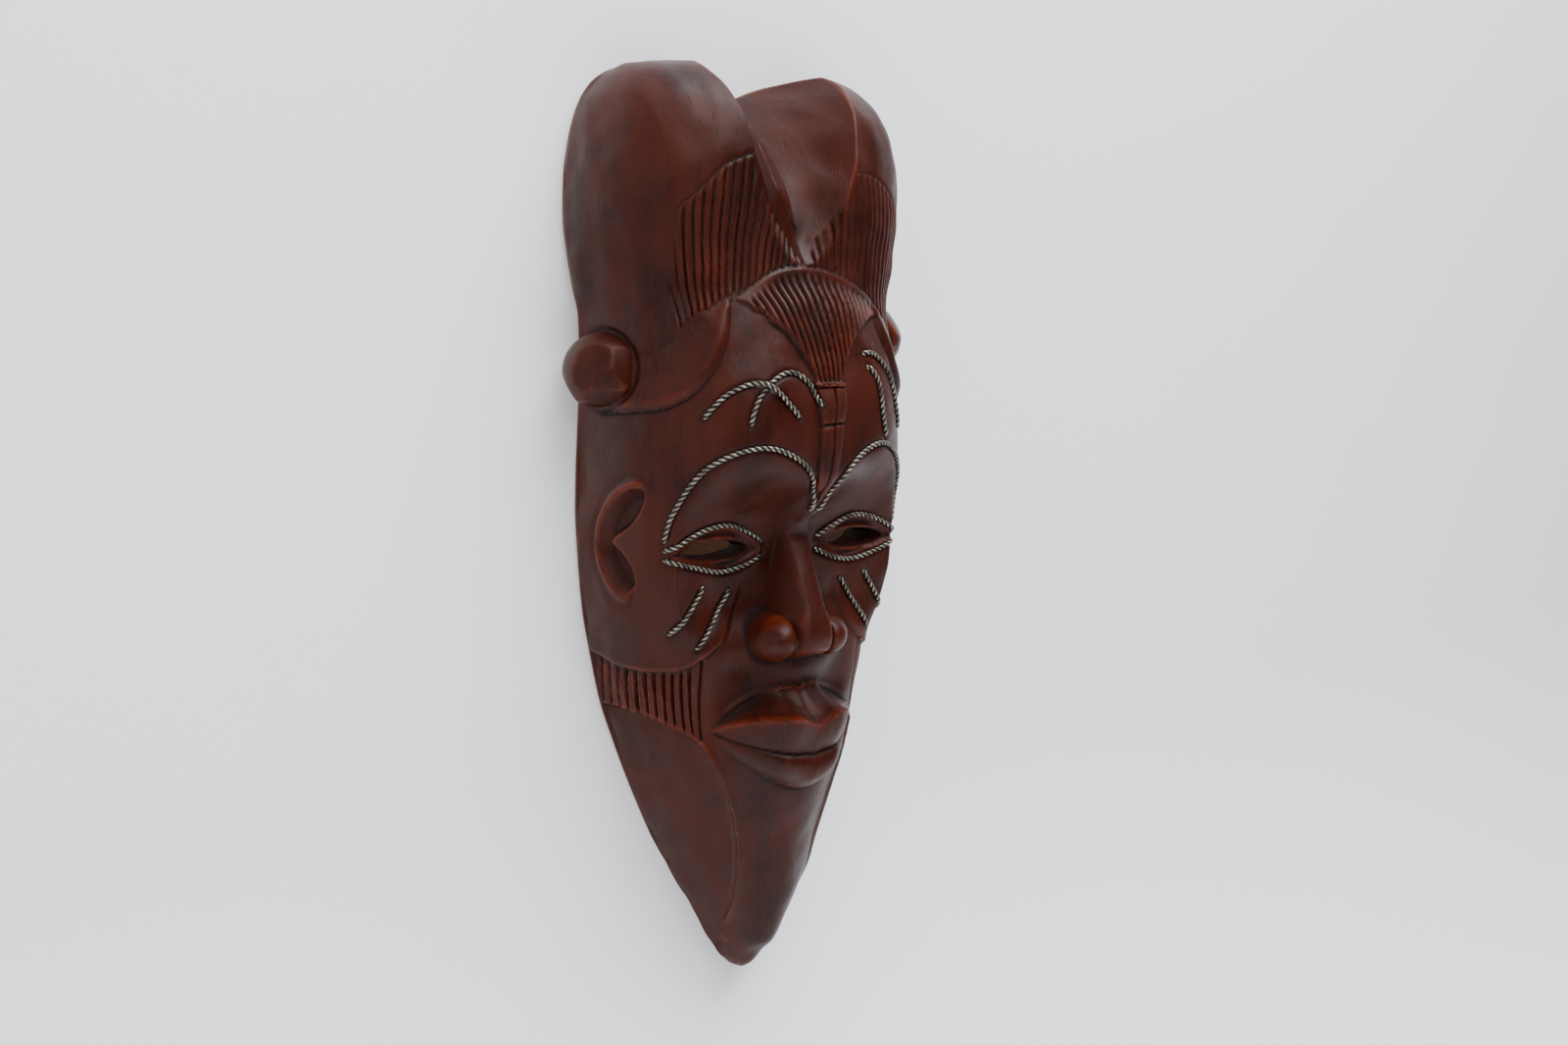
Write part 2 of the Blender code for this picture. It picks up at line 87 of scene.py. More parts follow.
class Fair:
    """Smooth curve through (station, value) pairs that never swings past them."""

    def __init__(self, stations: Stations) -> None:
        """Prepare the curve.

        Args:
            stations: (station, value) pairs in rising order of station.
        """
        self.keys, self.values = np.array(stations, float).T
        slopes = np.diff(self.values) / np.diff(self.keys)
        product = slopes[:-1] * slopes[1:]
        total = np.where(product > 0, slopes[:-1] + slopes[1:], 1.0)
        inner = np.where(product > 0, 2 * product / total, 0.0)
        self.tangents = np.concatenate([slopes[:1], inner, slopes[-1:]])

    def __call__(self, at: Array) -> Array:
        """Value of the curve at each station.

        Args:
            at: stations; those past an end take the end's value.

        Returns:
            The values, in the shape of the stations.
        """
        at = np.clip(at, self.keys[0], self.keys[-1])
        i = np.clip(np.searchsorted(self.keys, at, side="right") - 1, 0, len(self.keys) - 2)
        span = self.keys[i + 1] - self.keys[i]
        t = (at - self.keys[i]) / span
        rest = 1 - t
        level = self.values[i] * (1 + 2 * t) * rest**2 + self.values[i + 1] * t * t * (3 - 2 * t)
        bend = self.tangents[i] * t * rest**2 + self.tangents[i + 1] * t * t * (t - 1)
        return level + bend * span


def ease(low: float | Array, high: float | Array, at: Array) -> Array:
    """Rise from 0 at low to 1 at high, level at both ends."""
    t = np.clip((at - low) / (high - low), 0.0, 1.0)
    return t * t * (3 - 2 * t)


def bump(at: Array, width: float) -> Array:
    """Bell of height 1 and the given half width, centred on zero."""
    return np.exp(-((at / width) ** 2))


def deeper(a: Array, b: Array, blend: float) -> Array:
    """Smaller of two depths, with the edge between them eased over a blend length."""
    t = np.clip(0.5 + 0.5 * (b - a) / blend, 0.0, 1.0)
    return b + (a - b) * t - blend * t * (1 - t)


def prouder(a: Array, b: Array, blend: float) -> Array:
    """Larger of two depths, with the crease between them eased over a blend length."""
    return -deeper(-a, -b, blend)


def waves(u: Array, v: Array, length: float, seed: int, count: int = 14) -> Array:
    """Gentle hand-made unevenness of about unit size.

    Args:
        u: first coordinate in millimetres.
        v: second coordinate in millimetres.
        length: typical distance between swells.
        seed: seed of the swells' directions.
        count: number of swells that are summed.

    Returns:
        The unevenness at each point.
    """
    draw = np.random.default_rng(seed)
    total = np.zeros_like(u)
    for _ in range(count):
        turn, phase = draw.uniform(0, 2 * math.pi, 2)
        pitch = 2 * math.pi / (length * draw.uniform(0.7, 1.6))
        total += np.cos((u * math.cos(turn) + v * math.sin(turn)) * pitch + phase)
    return total / math.sqrt(count / 2)


def scallops(u: Array, v: Array, wide: float, tall: float, seed: int) -> Array:
    """Shallow overlapping gouge cuts: 0 in the middle of a cut, about 1 where cuts meet.

    Args:
        u: coordinate across the cuts.
        v: coordinate along the cuts.
        wide: spacing across.
        tall: spacing along.
        seed: seed of the cuts' places.

    Returns:
        The height left between cuts.
    """
    draw = np.random.default_rng(seed)
    across, along = u / wide + 100.0, v / tall + 100.0
    places = draw.uniform(0.15, 0.85, (260, 260, 2))
    column, row = np.floor(across).astype(int), np.floor(along).astype(int)
    nearest = np.full(u.shape, 9.0)
    for i in (-1, 0, 1):
        for j in (-1, 0, 1):
            spot = places[(column + i) % 260, (row + j) % 260]
            gap = (across - column - i - spot[..., 0]) ** 2 + (along - row - j - spot[..., 1]) ** 2
            nearest = np.minimum(nearest, gap)
    return np.clip(nearest / 0.6, 0.0, 1.4)


def curve(points: Sequence[tuple[float, ...]], step: float) -> Array:
    """Smooth curve through given points.

    Args:
        points: the points, in order.
        step: longest distance between the curve's own points.

    Returns:
        The curve's points, one to a row.
    """
    spots = np.array(points, float)
    ends = np.vstack([2 * spots[:1] - spots[1:2], spots, 2 * spots[-1:] - spots[-2:-1]])
    rows = [spots[:1]]
    for before, start, end, after in zip(ends, ends[1:], ends[2:], ends[3:]):
        count = max(1, math.ceil(np.linalg.norm(end - start) / step))
        t = (np.arange(1, count + 1) / count)[:, None]
        swing = 2 * before - 5 * start + 4 * end - after
        twist = 3 * start - before - 3 * end + after
        rows.append(0.5 * (2 * start + (end - before) * t + swing * t**2 + twist * t**3))
    return np.vstack(rows)


def distance_to(route: Array, *coordinates: Array) -> Array:
    """Shortest distance from each point of a field to a route.

    Args:
        route: the route's points, one to a row.
        coordinates: the field's coordinates, one array for each column of the route.

    Returns:
        The distances, in the shape of the coordinate arrays.
    """
    field_points = np.stack([c.ravel() for c in coordinates], axis=1)
    best = np.full(len(field_points), 1e9)
    for start, end in zip(route, route[1:]):
        run = end - start
        offset = field_points - start
        t = np.clip(offset @ run / max(run @ run, 1e-9), 0.0, 1.0)
        gap = offset - t[:, None] * run
        best = np.minimum(best, np.einsum("ij,ij->i", gap, gap))
    return np.sqrt(best).reshape(coordinates[0].shape)


def near(route: Array, reach: float, s: Array, h: Array) -> Array:
    """Distance to a flat route, worked out only close to it.

    Args:
        route: the route's (s, height) points.
        reach: how far round the route to look.
        s: the field's first coordinate.
        h: the field's heights.

    Returns:
        The distances; they are FAR at points that are not looked at.
    """
    low, high = route.min(axis=0) - reach, route.max(axis=0) + reach
    close = (s > low[0]) & (s < high[0]) & (h > low[1]) & (h < high[1])
    gaps = np.full(s.shape, FAR)
    if close.any():
        gaps[close] = distance_to(route, s[close], h[close])
    return gaps


def enclosed(outline: Array, s: Array, h: Array) -> Array:
    """Whether each point lies inside a closed outline.

    Args:
        outline: the outline's (s, height) corners, first not repeated.
        s: the points' first coordinate.
        h: the points' heights.

    Returns:
        True inside, in the shape of the coordinates.
    """
    inside = np.zeros(s.shape, bool)
    for (s1, h1), (s2, h2) in zip(outline, np.roll(outline, -1, axis=0)):
        if h1 == h2:
            continue
        crosses = (h1 > h) != (h2 > h)
        inside ^= crosses & (s < (s2 - s1) * (h - h1) / (h2 - h1) + s1)
    return inside


def full_turn(count: int) -> Array:
    """Angles evenly spaced round a full turn, the first not repeated."""
    return np.linspace(0, 2 * math.pi, count + 1)[:-1]


def unit(vectors: Array) -> Array:
    """Vectors along the last axis, each scaled to length 1."""
    return vectors / np.linalg.norm(vectors, axis=-1, keepdims=True).clip(1e-9)


def lengths_along(route: Array) -> Array:
    """Distance along a route from its start to each of its points."""
    return np.concatenate([[0], np.cumsum(np.linalg.norm(np.diff(route, axis=0), axis=1))])


def lowered(points: Array) -> Array:
    """Scene positions of points in millimetres whose y already runs towards the wall."""
    return points * MM - np.array([0, 0, DATUM_HEIGHT * MM])


def to_scene(x: Array, depth: Array, height: Array) -> Array:
    """Scene positions of design points, in metres along the last axis."""
    return np.stack([x * MM, -depth * MM, (height - DATUM_HEIGHT) * MM], axis=-1)


def spot(x: float, depth: float, height: float) -> Vector:
    """Scene position of one design point."""
    return Vector((x * MM, -depth * MM, (height - DATUM_HEIGHT) * MM))


# ---------------------------------------------------------------- the carved block

@dataclass
class Block:
    """Outer form of the wood: every section is a flattened, squarish arch on the wall."""

    half_widths: Stations = (
        (0, 3), (4, 7), (12, 11), (24, 16), (46, 27), (67, 37), (89, 46.5), (111, 55),
        (130, 61.5), (150, 66), (172, 70), (195, 72), (215, 73), (236, 72.5), (255, 71.5),
        (275, 70.5), (297, 71), (311, 74), (325, 76.5), (340, 78), (355, 77.5), (371, 75),
        (385, 70.5), (394, 64.5), (400, 56), (403, 46))
    depths: Stations = (
        (0, 24), (4, 30), (12, 37), (20, 45), (30, 49.5), (50, 56), (70, 59), (90, 63),
        (110, 66), (130, 63), (150, 64), (170, 70.5), (190, 78), (220, 81), (250, 83.5),
        (262, 83.5), (285, 77), (300, 71.5), (312, 66.5), (325, 65), (350, 67), (362, 66.5),
        (372, 65), (380, 62), (390, 55), (396, 48.5), (400, 42), (403, 34))
    squareness: Stations = (
        (0, 2.0), (100, 2.05), (130, 2.2), (160, 2.4), (300, 2.4), (325, 2.7), (403, 2.7))
    rim: float = 9.5
    hollow_depths: Stations = (
        (24, 0.3), (30, 8), (40, 18), (60, 30), (100, 41), (150, 43), (200, 43), (235, 46),
        (252, 41), (261, 29), (267, 14), (270, 0.3))
    hollow_squareness: float = 2.6
    hollow_round: float = 26.0

    def arch(self, half: float, depth: float, power: float, shares: Array) -> tuple[Array, ...]:
        """Points of one arched section, spread evenly along its length.

        Args:
            half: half width of the section at the wall.
            depth: depth of the section in the middle.
            power: squareness of the arch.
            shares: places along the arch, from -1 at the left end to 1 at the right.

        Returns:
            The x positions, the depths, and the distances along the arch from its middle.
        """
        angle = np.linspace(0, math.pi, 1201)
        cosine, sine = np.cos(angle), np.sin(angle).clip(0)
        x = -half * np.sign(cosine) * np.abs(cosine) ** (2 / power)
        deep = depth * sine ** (2 / power)
        deep[[0, -1]] = 0.0
        along = np.concatenate([[0], np.cumsum(np.hypot(np.diff(x), np.diff(deep)))])
        at = (shares + 1) / 2 * along[-1]
        return np.interp(at, along, x), np.interp(at, along, deep), at - along[-1] / 2

    def hollow(self, height: float, shares: Array) -> tuple[Array, Array]:
        """Back of one section: the flat rim and the scoop inside it, from right to left.

        Args:
            height: height of the section.
            shares: places along the scoop, from -1 to 1.

        Returns:
            The x positions and the depths behind the wall plane.
        """
        low, high = self.hollow_depths[0][0], self.hollow_depths[-1][0]
        half = float(Fair(self.half_widths)(height))
        inner = half - self.rim
        from_end = min(max(min(height - low, high - height) / self.hollow_round, 0.0), 1.0)
        inner *= 0.2 + 0.8 * math.sqrt(1 - (1 - from_end) ** 2)
        deep = float(Fair(self.hollow_depths)(height)) if low <= height <= high else 0.0
        x, depth, _ = self.arch(inner, max(deep, 1e-6), self.hollow_squareness, shares)
        edge = np.linspace(half, inner, 7)[1:-1]
        level = np.zeros(len(edge))
        return (np.concatenate([edge, x[::-1], -edge[::-1]]),
                np.concatenate([level, depth[::-1], level]))


@dataclass
class Front:
    """The front of the block as a grid that the carving works on."""

    s: Array
    h: Array
    x: Array
    depth: Array
    rise: Array
    inlay: Array

    @property
    def m(self) -> Array:
        """Distance along the section from the centreline, alike on both sides."""
        return np.abs(self.s)


@dataclass
class Carving:
    """Everything that the carver cuts into the front of the block, feature by feature."""

    face_plane: Stations = (
        (150, 52), (172, 53.5), (185, 54.3), (200, 55.5), (213, 57), (250, 60))
    brow_edge: Stations = (
        (0, 235), (6, 235), (15, 239.5), (27, 243.5), (40, 242), (50, 234.5), (57, 222),
        (61, 205), (80, 188))
    slope_foot: Stations = (
        (0, 203), (10, 207), (35, 212), (55, 205), (61, 198), (80, 178))
    cheek_fade: tuple[float, float] = (148.0, 178.0)
    valley: Stations = (
        (318, 66), (324, 62), (335, 57.5), (350, 51), (362, 41), (374, 29), (384, 13),
        (392, -3), (400, -24), (410, -50))
    notch_slope: Stations = (
        (318, 0.25), (335, 0.43), (350, 0.70), (370, 1.13), (390, 1.62), (410, 2.1))
    notch_ridge: Stations = (
        (318, 0.0), (330, 4.9), (335, 10.5), (340, 14.5), (350, 21.4), (360, 25.7),
        (370, 28), (380, 30.7), (390, 33.7), (403, 35))
    web: float = 1.8
    eye_x: float = 37.0
    eye_height: float = 202.0
    eye_half: tuple[float, float] = (15.0, 3.9)
    muzzle_middle: tuple[float, float] = (23.0, 142.0)
    muzzle_reach: tuple[float, float] = (14.0, 15.0)
    muzzle_depth: float = 6.0
    wing_x: float = 13.4
    wing_height: float = 163.5
    wing_radius: float = 10.2
    bed_depth: float = 0.70
    bed_half: float = 1.35
    bed_stain_half: float = 1.7
    bed_reach: float = 7.0

    def under_brow(self, g: Front) -> None:
        """Cut the face back to a plane below the brows.

        Args:
            g: the front.
        """
        plane = Fair(self.face_plane)(g.h)
        edge = Fair(self.brow_edge)(np.abs(g.x))
        foot = Fair(self.slope_foot)(np.abs(g.x))
        share = (1 - ease(foot, edge, g.h)) * ease(*self.cheek_fade, g.h)
        g.depth = g.depth - np.maximum(g.depth - plane, 0) * share

    def notch(self, g: Front) -> None:
        """Part the headdress into two lobes with scooped inner faces.

        Args:
            g: the front.
        """
        span = np.abs(g.x)
        ridge = np.maximum(Fair(self.notch_ridge)(g.h), 1.0)
        share = np.clip(span / ridge, 0, 1)
        scoop = 1.6 * np.sin(math.pi * share) * ease(322, 345, g.h)
        lens = Fair([(334, 0.0), (342, 2.2), (354, 4.4), (374, 4.4), (392, 2.0), (403, 0.0)])(g.h)
        strip = -1.3 * np.sqrt(np.clip(1 - ((g.x + lens) / np.maximum(lens, 0.1)) ** 2, 0, 1))
        scoop = scoop + strip * (g.x < 0)
        cut = Fair(self.valley)(g.h) + Fair(self.notch_slope)(g.h) * span - scoop
        notched = deeper(g.depth, np.maximum(cut, self.web), 0.7)
        g.depth = np.where(g.h > 320, notched, g.depth)

    def muzzle(self, g: Front) -> None:
        """Scoop the hollows beside the mouth and below the nose.

        Args:
            g: the front.
        """
        (x, height), (wide, tall) = self.muzzle_middle, self.muzzle_reach
        for side in Side:
            away = np.hypot((g.x - side.value * x) / wide, (g.h - height) / tall)
            g.depth = g.depth - self.muzzle_depth * np.exp(-away**2)

    def nose(self, g: Front) -> None:
        """Raise the squared ridge of the nose and its two ball-shaped wings.

        Args:
            g: the front.
        """
        crest = Fair([(148, 40), (152, 55), (154.5, 66), (157, 74.5), (160, 78.3), (165, 79.8),
                      (170, 79), (180, 75), (190, 70.5), (200, 66), (207, 63.2), (212, 66.5),
                      (218, 73), (224, 77.5), (232, 80.3), (240, 81)])(g.h)
        half = Fair([(150, 6.6), (160, 7.0), (170, 6.7), (180, 5.3), (195, 5), (207, 5.5), (214, 3),
                     (225, 2.2), (240, 2)])(g.h)
        span = np.abs(g.x)
        beyond = span - half
        fall = 0.5 * (beyond + np.sqrt(beyond**2 + 1.2))
        steep = Fair([(150, 3.2), (205, 2.6), (214, 1.2), (240, 0.5)])(g.h)
        ridge = crest - 0.012 * span**2 - steep * fall
        ridge = np.where(g.h < 240, ridge, 0)
        raised = prouder(g.depth, ridge, 1.2)
        g.depth = np.where((span < 30) & (g.h > 150) & (g.h < 238), raised, g.depth)
        for side in Side:
            across = (g.x - side.value * self.wing_x) / self.wing_radius
            up = (g.h - self.wing_height) / (0.98 * self.wing_radius)
            level = 1 - across**2 - up**2
            ball = 62.5 + 13.5 * np.clip(level, 0, 1) ** 0.62 - 16.0 * ease(0.0, 0.5, -level)
            g.depth = np.where(level > -0.5, prouder(g.depth, ball, 1.2), g.depth)
        seam = Fair([(152, 9.2), (160, 9.8), (167, 9.4), (173, 8.0), (177, 6.5)])(g.h)
        cut = 1.4 * bump(span - seam, 0.8) * ease(153, 157, g.h) * (1 - ease(172, 177, g.h))
        g.depth = g.depth - cut

    def lips(self, g: Front) -> None:
        """Model the full lips: two scoops, the crest, the parting and the lower roll.

        Args:
            g: the front.
        """
        span = np.abs(g.x)
        top = Fair([(0, 141), (4, 142.4), (10, 141.6), (20, 138.2), (30, 132.6), (37, 126.5)])(span)
        crest = Fair([(0, 127.5), (4, 129.5), (10, 132), (20, 131.5), (30, 128.5), (37, 125)])(span)
        parting = Fair([(0, 114), (10, 115), (20, 117), (30, 120), (37, 123.5)])(span)
        foot = Fair([(0, 97.0), (3, 97.2), (10, 99.6), (20, 104.6), (25, 108), (30, 112),
                     (35, 118), (37, 122)])(span)
        top_depth = Fair([(0, 64), (10, 61.8), (20, 53), (30, 51.5), (37, 50)])(span)
        crest_depth = Fair([(0, 79.5), (6, 80.5), (10, 81), (15, 79), (20, 73.5), (25, 67.5),
                            (30, 61), (37, 52)])(span)
        part_depth = Fair([(0, 75), (10, 74.2), (20, 68), (30, 58.5), (37, 50.5)])(span)
        foot_depth = Fair([(0, 66.5), (10, 65), (20, 60), (30, 54), (37, 50)])(span)
        roll = 5.6 * np.clip(1 - (span / 38) ** 2, 0, 1) ** 0.8

        t = np.clip((g.h - foot) / (parting - foot), 0, 1)
        lower = foot_depth + (part_depth - foot_depth) * t + roll * np.sin(math.pi * t) ** 0.85
        t = np.clip((g.h - parting) / (crest - parting), 0, 1)
        upper = part_depth + (crest_depth - part_depth) * np.sin(math.pi / 2 * t)
        t = np.clip((g.h - crest) / (top - crest), 0, 1)
        scoop = crest_depth + (top_depth - crest_depth) * t**0.62
        basin = ease(1.0, 7.0, span) * (1 - ease(29, 36, span))
        scoop = scoop - 1.9 * basin * np.sin(math.pi * t)
        shape = np.where(g.h < parting, lower, np.where(g.h < crest, upper, scoop))
        within = (span < 37.5) & (g.h > foot) & (g.h < top)
        fade = 1 - ease(35.5, 37.5, span)
        raised = prouder(g.depth, g.depth + (shape - g.depth) * fade, 0.5)
        g.depth = np.where(within, raised, g.depth)
        g.depth = g.depth + 0.8 * bump(g.h - top, 1.2) * (1 - ease(28, 36, span))
        seam = 0.55 * bump(g.h - parting, 0.55) * (1 - ease(34, 38, span))
        g.depth = g.depth - seam * (span < 38)

    def eyes(self, g: Front, upper: Array, lower: Array) -> None:
        """Sink the almonds between the lid wires and leave a lid round each slit.

        Args:
            g: the front.
            upper: (x, height) points of the right upper lid wire.
            lower: (x, height) points of the right lower lid wire.
        """
        span = np.abs(g.x)
        almond = np.vstack([upper, lower[::-1]])
        gaps = near(almond, 4, span, g.h)
        inner = np.where((gaps < FAR) & enclosed(almond, span, g.h), gaps, 0)
        sunk = 2.4 * ease(0.8, 3.4, inner)
        wide, tall = self.eye_half
        reach = np.hypot((span - self.eye_x) / wide, (g.h - self.eye_height) / tall)
        out = (reach - 1) * tall * np.clip(reach, 0.3, 1) ** 0.5
        lid = 1.1 * bump(out - 1.0, 1.4) * ease(0.2, 1.6, inner)
        g.depth = g.depth - sunk + lid

    def lobe_strands(self, g: Front) -> None:
        """Comb the lower front of both lobes into straight strands.

        Args:
            g: the front.
        """
        pitch, cut, half = 3.6, 1.1, 0.85
        left = curve([(-20, 366), (-26.8, 363), (-31.5, 361.3), (-38.6, 358.2), (-43.4, 354.3),
                      (-49.9, 347.8), (-54.4, 344.1), (-58.6, 339.5), (-62, 315), (-63, 285)], 4)
        right = curve([(20, 358), (26, 358.9), (32.9, 359.3), (41.6, 357.3), (50.3, 353.2),
                       (58.6, 347.9), (66, 341), (70, 325), (72, 285)], 4)
        ridge = Fair(self.notch_ridge)(g.h)
        beside = ease(1.2, 3.2, np.abs(g.x) - ridge) * self.above_crown(g, 1.2)
        for outline, middle, fan in ((left, -48.0, 0.0065), (right, 44.0, 0.0022)):
            region = np.vstack([outline, [(0, 285), (0, 366)]])
            gaps = near(outline, 60, g.s, g.h)
            inside = enclosed(region, g.s, g.h)
            deep = ease(0.3, 3.0, gaps) * inside * beside
            spread = (g.s - middle) * np.exp(-fan * (g.h - 330)) + 0.3 * waves(g.s, g.h, 45, 11)
            turn = spread / pitch
            away = np.abs(turn - np.round(turn)) * pitch
            strand = 0.4 * away / pitch - cut * np.clip(1 - away / half, 0, 1) ** 0.8
            strength = 0.8 + 0.2 * waves(np.round(turn) * pitch, 0 * g.h, 9, 12)
            g.rise += strand * deep * np.clip(strength, 0.45, 1.1)
            g.rise -= 0.6 * bump(gaps, 0.6) * (np.abs(g.x) > ridge + 0.6) * (g.h > 340)

    def crown_arc(self) -> Array:
        """Top edge of the combed crown."""
        return curve([(-37.8, 304.2), (-32.4, 307), (-17.4, 316), (-5.3, 318.7), (4, 318.4),
                      (12.8, 316.9), (31.4, 310.5), (48.3, 299.6)], 3)

    def above_crown(self, g: Front, soft: float) -> Array:
        """1 above the crown's arc and the temple rolls, 0 on them, eased over a length.

        Args:
            g: the front.
            soft: length of the easing, in millimetres.

        Returns:
            The share at each point.
        """
        arc = Fair([(-123, 280), (-95, 280.3), (-78.5, 281.7), (-69.5, 285.3), (-63.9, 288.2),
                    (-59.5, 292.3), (-53.9, 296.9), (-46.5, 300.4), (-37.5, 305.7),
                    (-32.4, 307.5), (-17.4, 316), (-5.3, 318.7), (12.8, 316.9), (31.4, 310.5),
                    (48.3, 299.6), (53.9, 296.9), (59.5, 292.3), (69.5, 285.3), (78.5, 281.7),
                    (123, 280)])(g.s)
        return ease(0.2, 0.2 + soft, g.h - arc)

    def crown(self, g: Front) -> None:
        """Raise the combed crown and cut the strands that run down into the braid.

        Args:
            g: the front.
        """
        pitch, fan, axis = 4.1, 0.0125, 8.0
        foot = [(-38.6, 305.6), (-30.7, 302.3), (-28.7, 300.4), (-24.6, 299.5), (-22.9, 296.1),
                (-17.9, 292.7), (-14, 287.6), (-9.7, 281.3), (-7.4, 275.6), (-7.2, 270),
                (7.2, 270), (9, 275.6), (11.5, 281), (16, 287), (21, 291.5), (28, 296),
                (36, 299), (48.3, 299.6)]
        arc = self.crown_arc()
        outline = np.vstack([arc[::-1], foot])
        gaps = near(arc, 60, g.s, g.h)
        edge = near(np.array(foot, float), 60, g.s, g.h)
        inside = enclosed(outline, g.s, g.h)
        rise = 0.6 + 2.3 * ease(0, 16, gaps) - 1.2 * (1 - ease(270, 281, g.h))
        rise = rise * ease(-0.2, 1.3, edge) * ease(-0.2, 0.9, gaps)
        spread = (g.s - axis) * np.exp(-fan * (g.h - 318)) + 0.25 * waves(g.s, g.h, 34, 21)
        turn = spread / pitch + 0.5
        away = np.abs(turn - np.round(turn)) * pitch * np.exp(fan * (g.h - 318))
        width = pitch * np.exp(fan * (g.h - 318))
        half = np.clip(0.28 * width, 0.55, 1.1)
        share = np.clip(1 - away / half, 0, 1)
        cut = 1.55 * share**0.8 * ease(2.6, 6.0, gaps) * ease(268, 275, g.h)
        g.rise += np.where(inside, rise - cut * ease(0.2, 1.6, edge), 0)
        g.rise -= 0.45 * bump(gaps, 1.0) * ~inside * (g.h > 296)

    def braid(self, g: Front) -> None:
        """Raise the braid: two studs, a tie, and two strands that run out between the brows.

        Args:
            g: the front.
        """
        middle = Fair([(219, -2.2), (227, -1.9), (238, -1.2), (255, 0.1), (271, 0.6)])(g.h)
        half = Fair([(219, 1.3), (227, 3.1), (238, 5.3), (255, 6.0), (262, 7.2), (271, 7.8)])(g.h)
        height = Fair([(217, 0), (225, 1.6), (240, 2.7), (254, 3.1), (262, 3.7), (271, 3.2)])(g.h)
        span = np.abs(g.s - middle)
        body = height * np.sqrt(np.clip(1 - (span / half) ** 4, 0, 1))
        body -= 1.5 * np.clip(1 - span / 0.9, 0, 1) * ease(219, 226, g.h)
        for level, cut in ((270.4, 1.6), (254.8, 1.5)):
            body -= cut * np.clip(1 - np.abs(g.h - level - 0.06 * g.s) / 1.0, 0, 1)
        held = (span < half) & (g.h > 217) & (g.h < 271.4)
        g.rise += np.where(held, body, 0)

    def temple_rolls(self, g: Front) -> None:
        """Carve the leaf-shaped roll of hair over each temple.

        Args:
            g: the front.
        """
        lower = curve([(37.5, 305.7), (40, 293.6), (43.8, 284.5), (50, 275.5), (58.9, 267.4),
                       (66.3, 263.2), (73.9, 260.7), (88.1, 259), (105.4, 257.6), (130, 257.5)], 3)
        upper = curve([(37.5, 305.7), (46.5, 300.4), (53.9, 296.9), (59.5, 292.3), (63.9, 288.2),
                       (69.5, 285.3), (78.5, 281.7), (100, 280), (130, 280)], 3)
        outline = np.vstack([lower, upper[::-1]])
        below = near(lower, 26, g.m, g.h)
        above = near(upper, 26, g.m, g.h)
        inside = enclosed(outline, g.m, g.h)
        share = below / np.maximum(below + above, 1e-3)
        rise = 3.3 * (1 - share) ** 1.3 * np.sqrt(ease(-0.2, 4.5, below))
        fade = 1 - ease(98, 116, g.m)
        g.rise += np.where(inside, rise * fade, 0)
        g.rise -= 0.25 * bump(below, 1.4) * ~inside * fade
        g.rise -= 0.35 * bump(above, 1.3) * fade * (g.m > 38)

    def ears(self, g: Front) -> None:
        """Carve an ear in low relief on each side of the head.

        Args:
            g: the front.
        """
        rim = curve([(78.8, 229.8), (87.2, 229.4), (95.3, 224.5), (102, 217), (105.9, 208.5),
                     (105.7, 198.8), (100.7, 191.2), (93.8, 184.5), (86.1, 181.4)], 2)
        cheek = curve([(79.1, 228.9), (80.5, 220.3), (85, 213.7), (89.8, 209.3), (96.5, 204.9),
                       (91.5, 201.2), (86.2, 196.9), (83.7, 193.1), (82.4, 187.0), (86.1, 182)],
                      1.5)
        bowl = np.vstack([rim, cheek[::-1]])
        to_rim = near(rim, 30, g.m, g.h)
        to_cheek = near(cheek, 30, g.m, g.h)
        inside = enclosed(bowl, g.m, g.h)
        g.rise -= 4.6 * inside * ease(0, 2.8, to_cheek) * ease(0.6, 6.5, to_rim)
        behind = ease(77, 85, g.m)
        g.rise += 1.7 * bump(to_rim, 1.9) * behind
        g.rise -= 0.45 * bump(to_rim - 4.2, 1.8) * ~inside * behind

    def cheek_folds(self, g: Front) -> None:
        """Cut the fold that runs from beside the nose round under each cheek.

        Args:
            g: the front.
        """
        fold = curve([(25.5, 189), (28.4, 177.3), (35.8, 164.4), (45.3, 157), (55.8, 151.8),
                      (79.3, 150.6), (101.5, 153.6), (118, 157)], 3)
        under = np.vstack([fold, [(118, 100), (0, 100), (0, 189)]])
        gaps = near(fold, 70, g.m, g.h)
        below = enclosed(under, g.m, g.h)
        end = 1 - ease(172, 189, g.h)
        step = 1.7 * ease(0, 2.4, gaps) * np.exp(-gaps / 8)
        g.rise -= step * below * end
        g.rise += 0.35 * bump(gaps, 5.0) * ~below * end

    def beard(self, g: Front) -> None:
        """Cut the row of wedge-shaped grooves along each side of the jaw.

        Args:
            g: the front.
        """
        fold = Fair([(40, 160), (45.3, 156.5), (55.8, 151.2), (79.3, 150.0), (101.5, 152.8),
                     (118, 156)])(g.m)
        jaw = Fair([(36, 112), (44.2, 118.1), (55.1, 123.9), (73.9, 129), (99.5, 129.9),
                    (120, 130)])(g.m)
        places = (97.5, 91.5, 85.5, 80, 74.5, 69.5, 65, 60.5, 56.5, 52.5, 48.8)
        share = np.clip((g.h - jaw) / (fold - jaw), 0, 1)
        span = ease(0.03, 0.10, share) * (1 - ease(0.86, 0.98, share))
        lean = 3.0 * (share - 0.5)
        for number, place in enumerate(places):
            strength = 1.0 - 0.05 * number
            half = (1.0 + 0.95 * share) * strength
            away = np.abs(g.m - place - lean) / half
            g.rise -= 3.1 * strength * np.clip(1 - away, 0, 1) ** 0.85 * span
        g.rise -= 1.2 * bump(g.m - 44.6 - 0.3 * lean, 0.65) * ease(118, 121, g.h) * (g.h < 156)

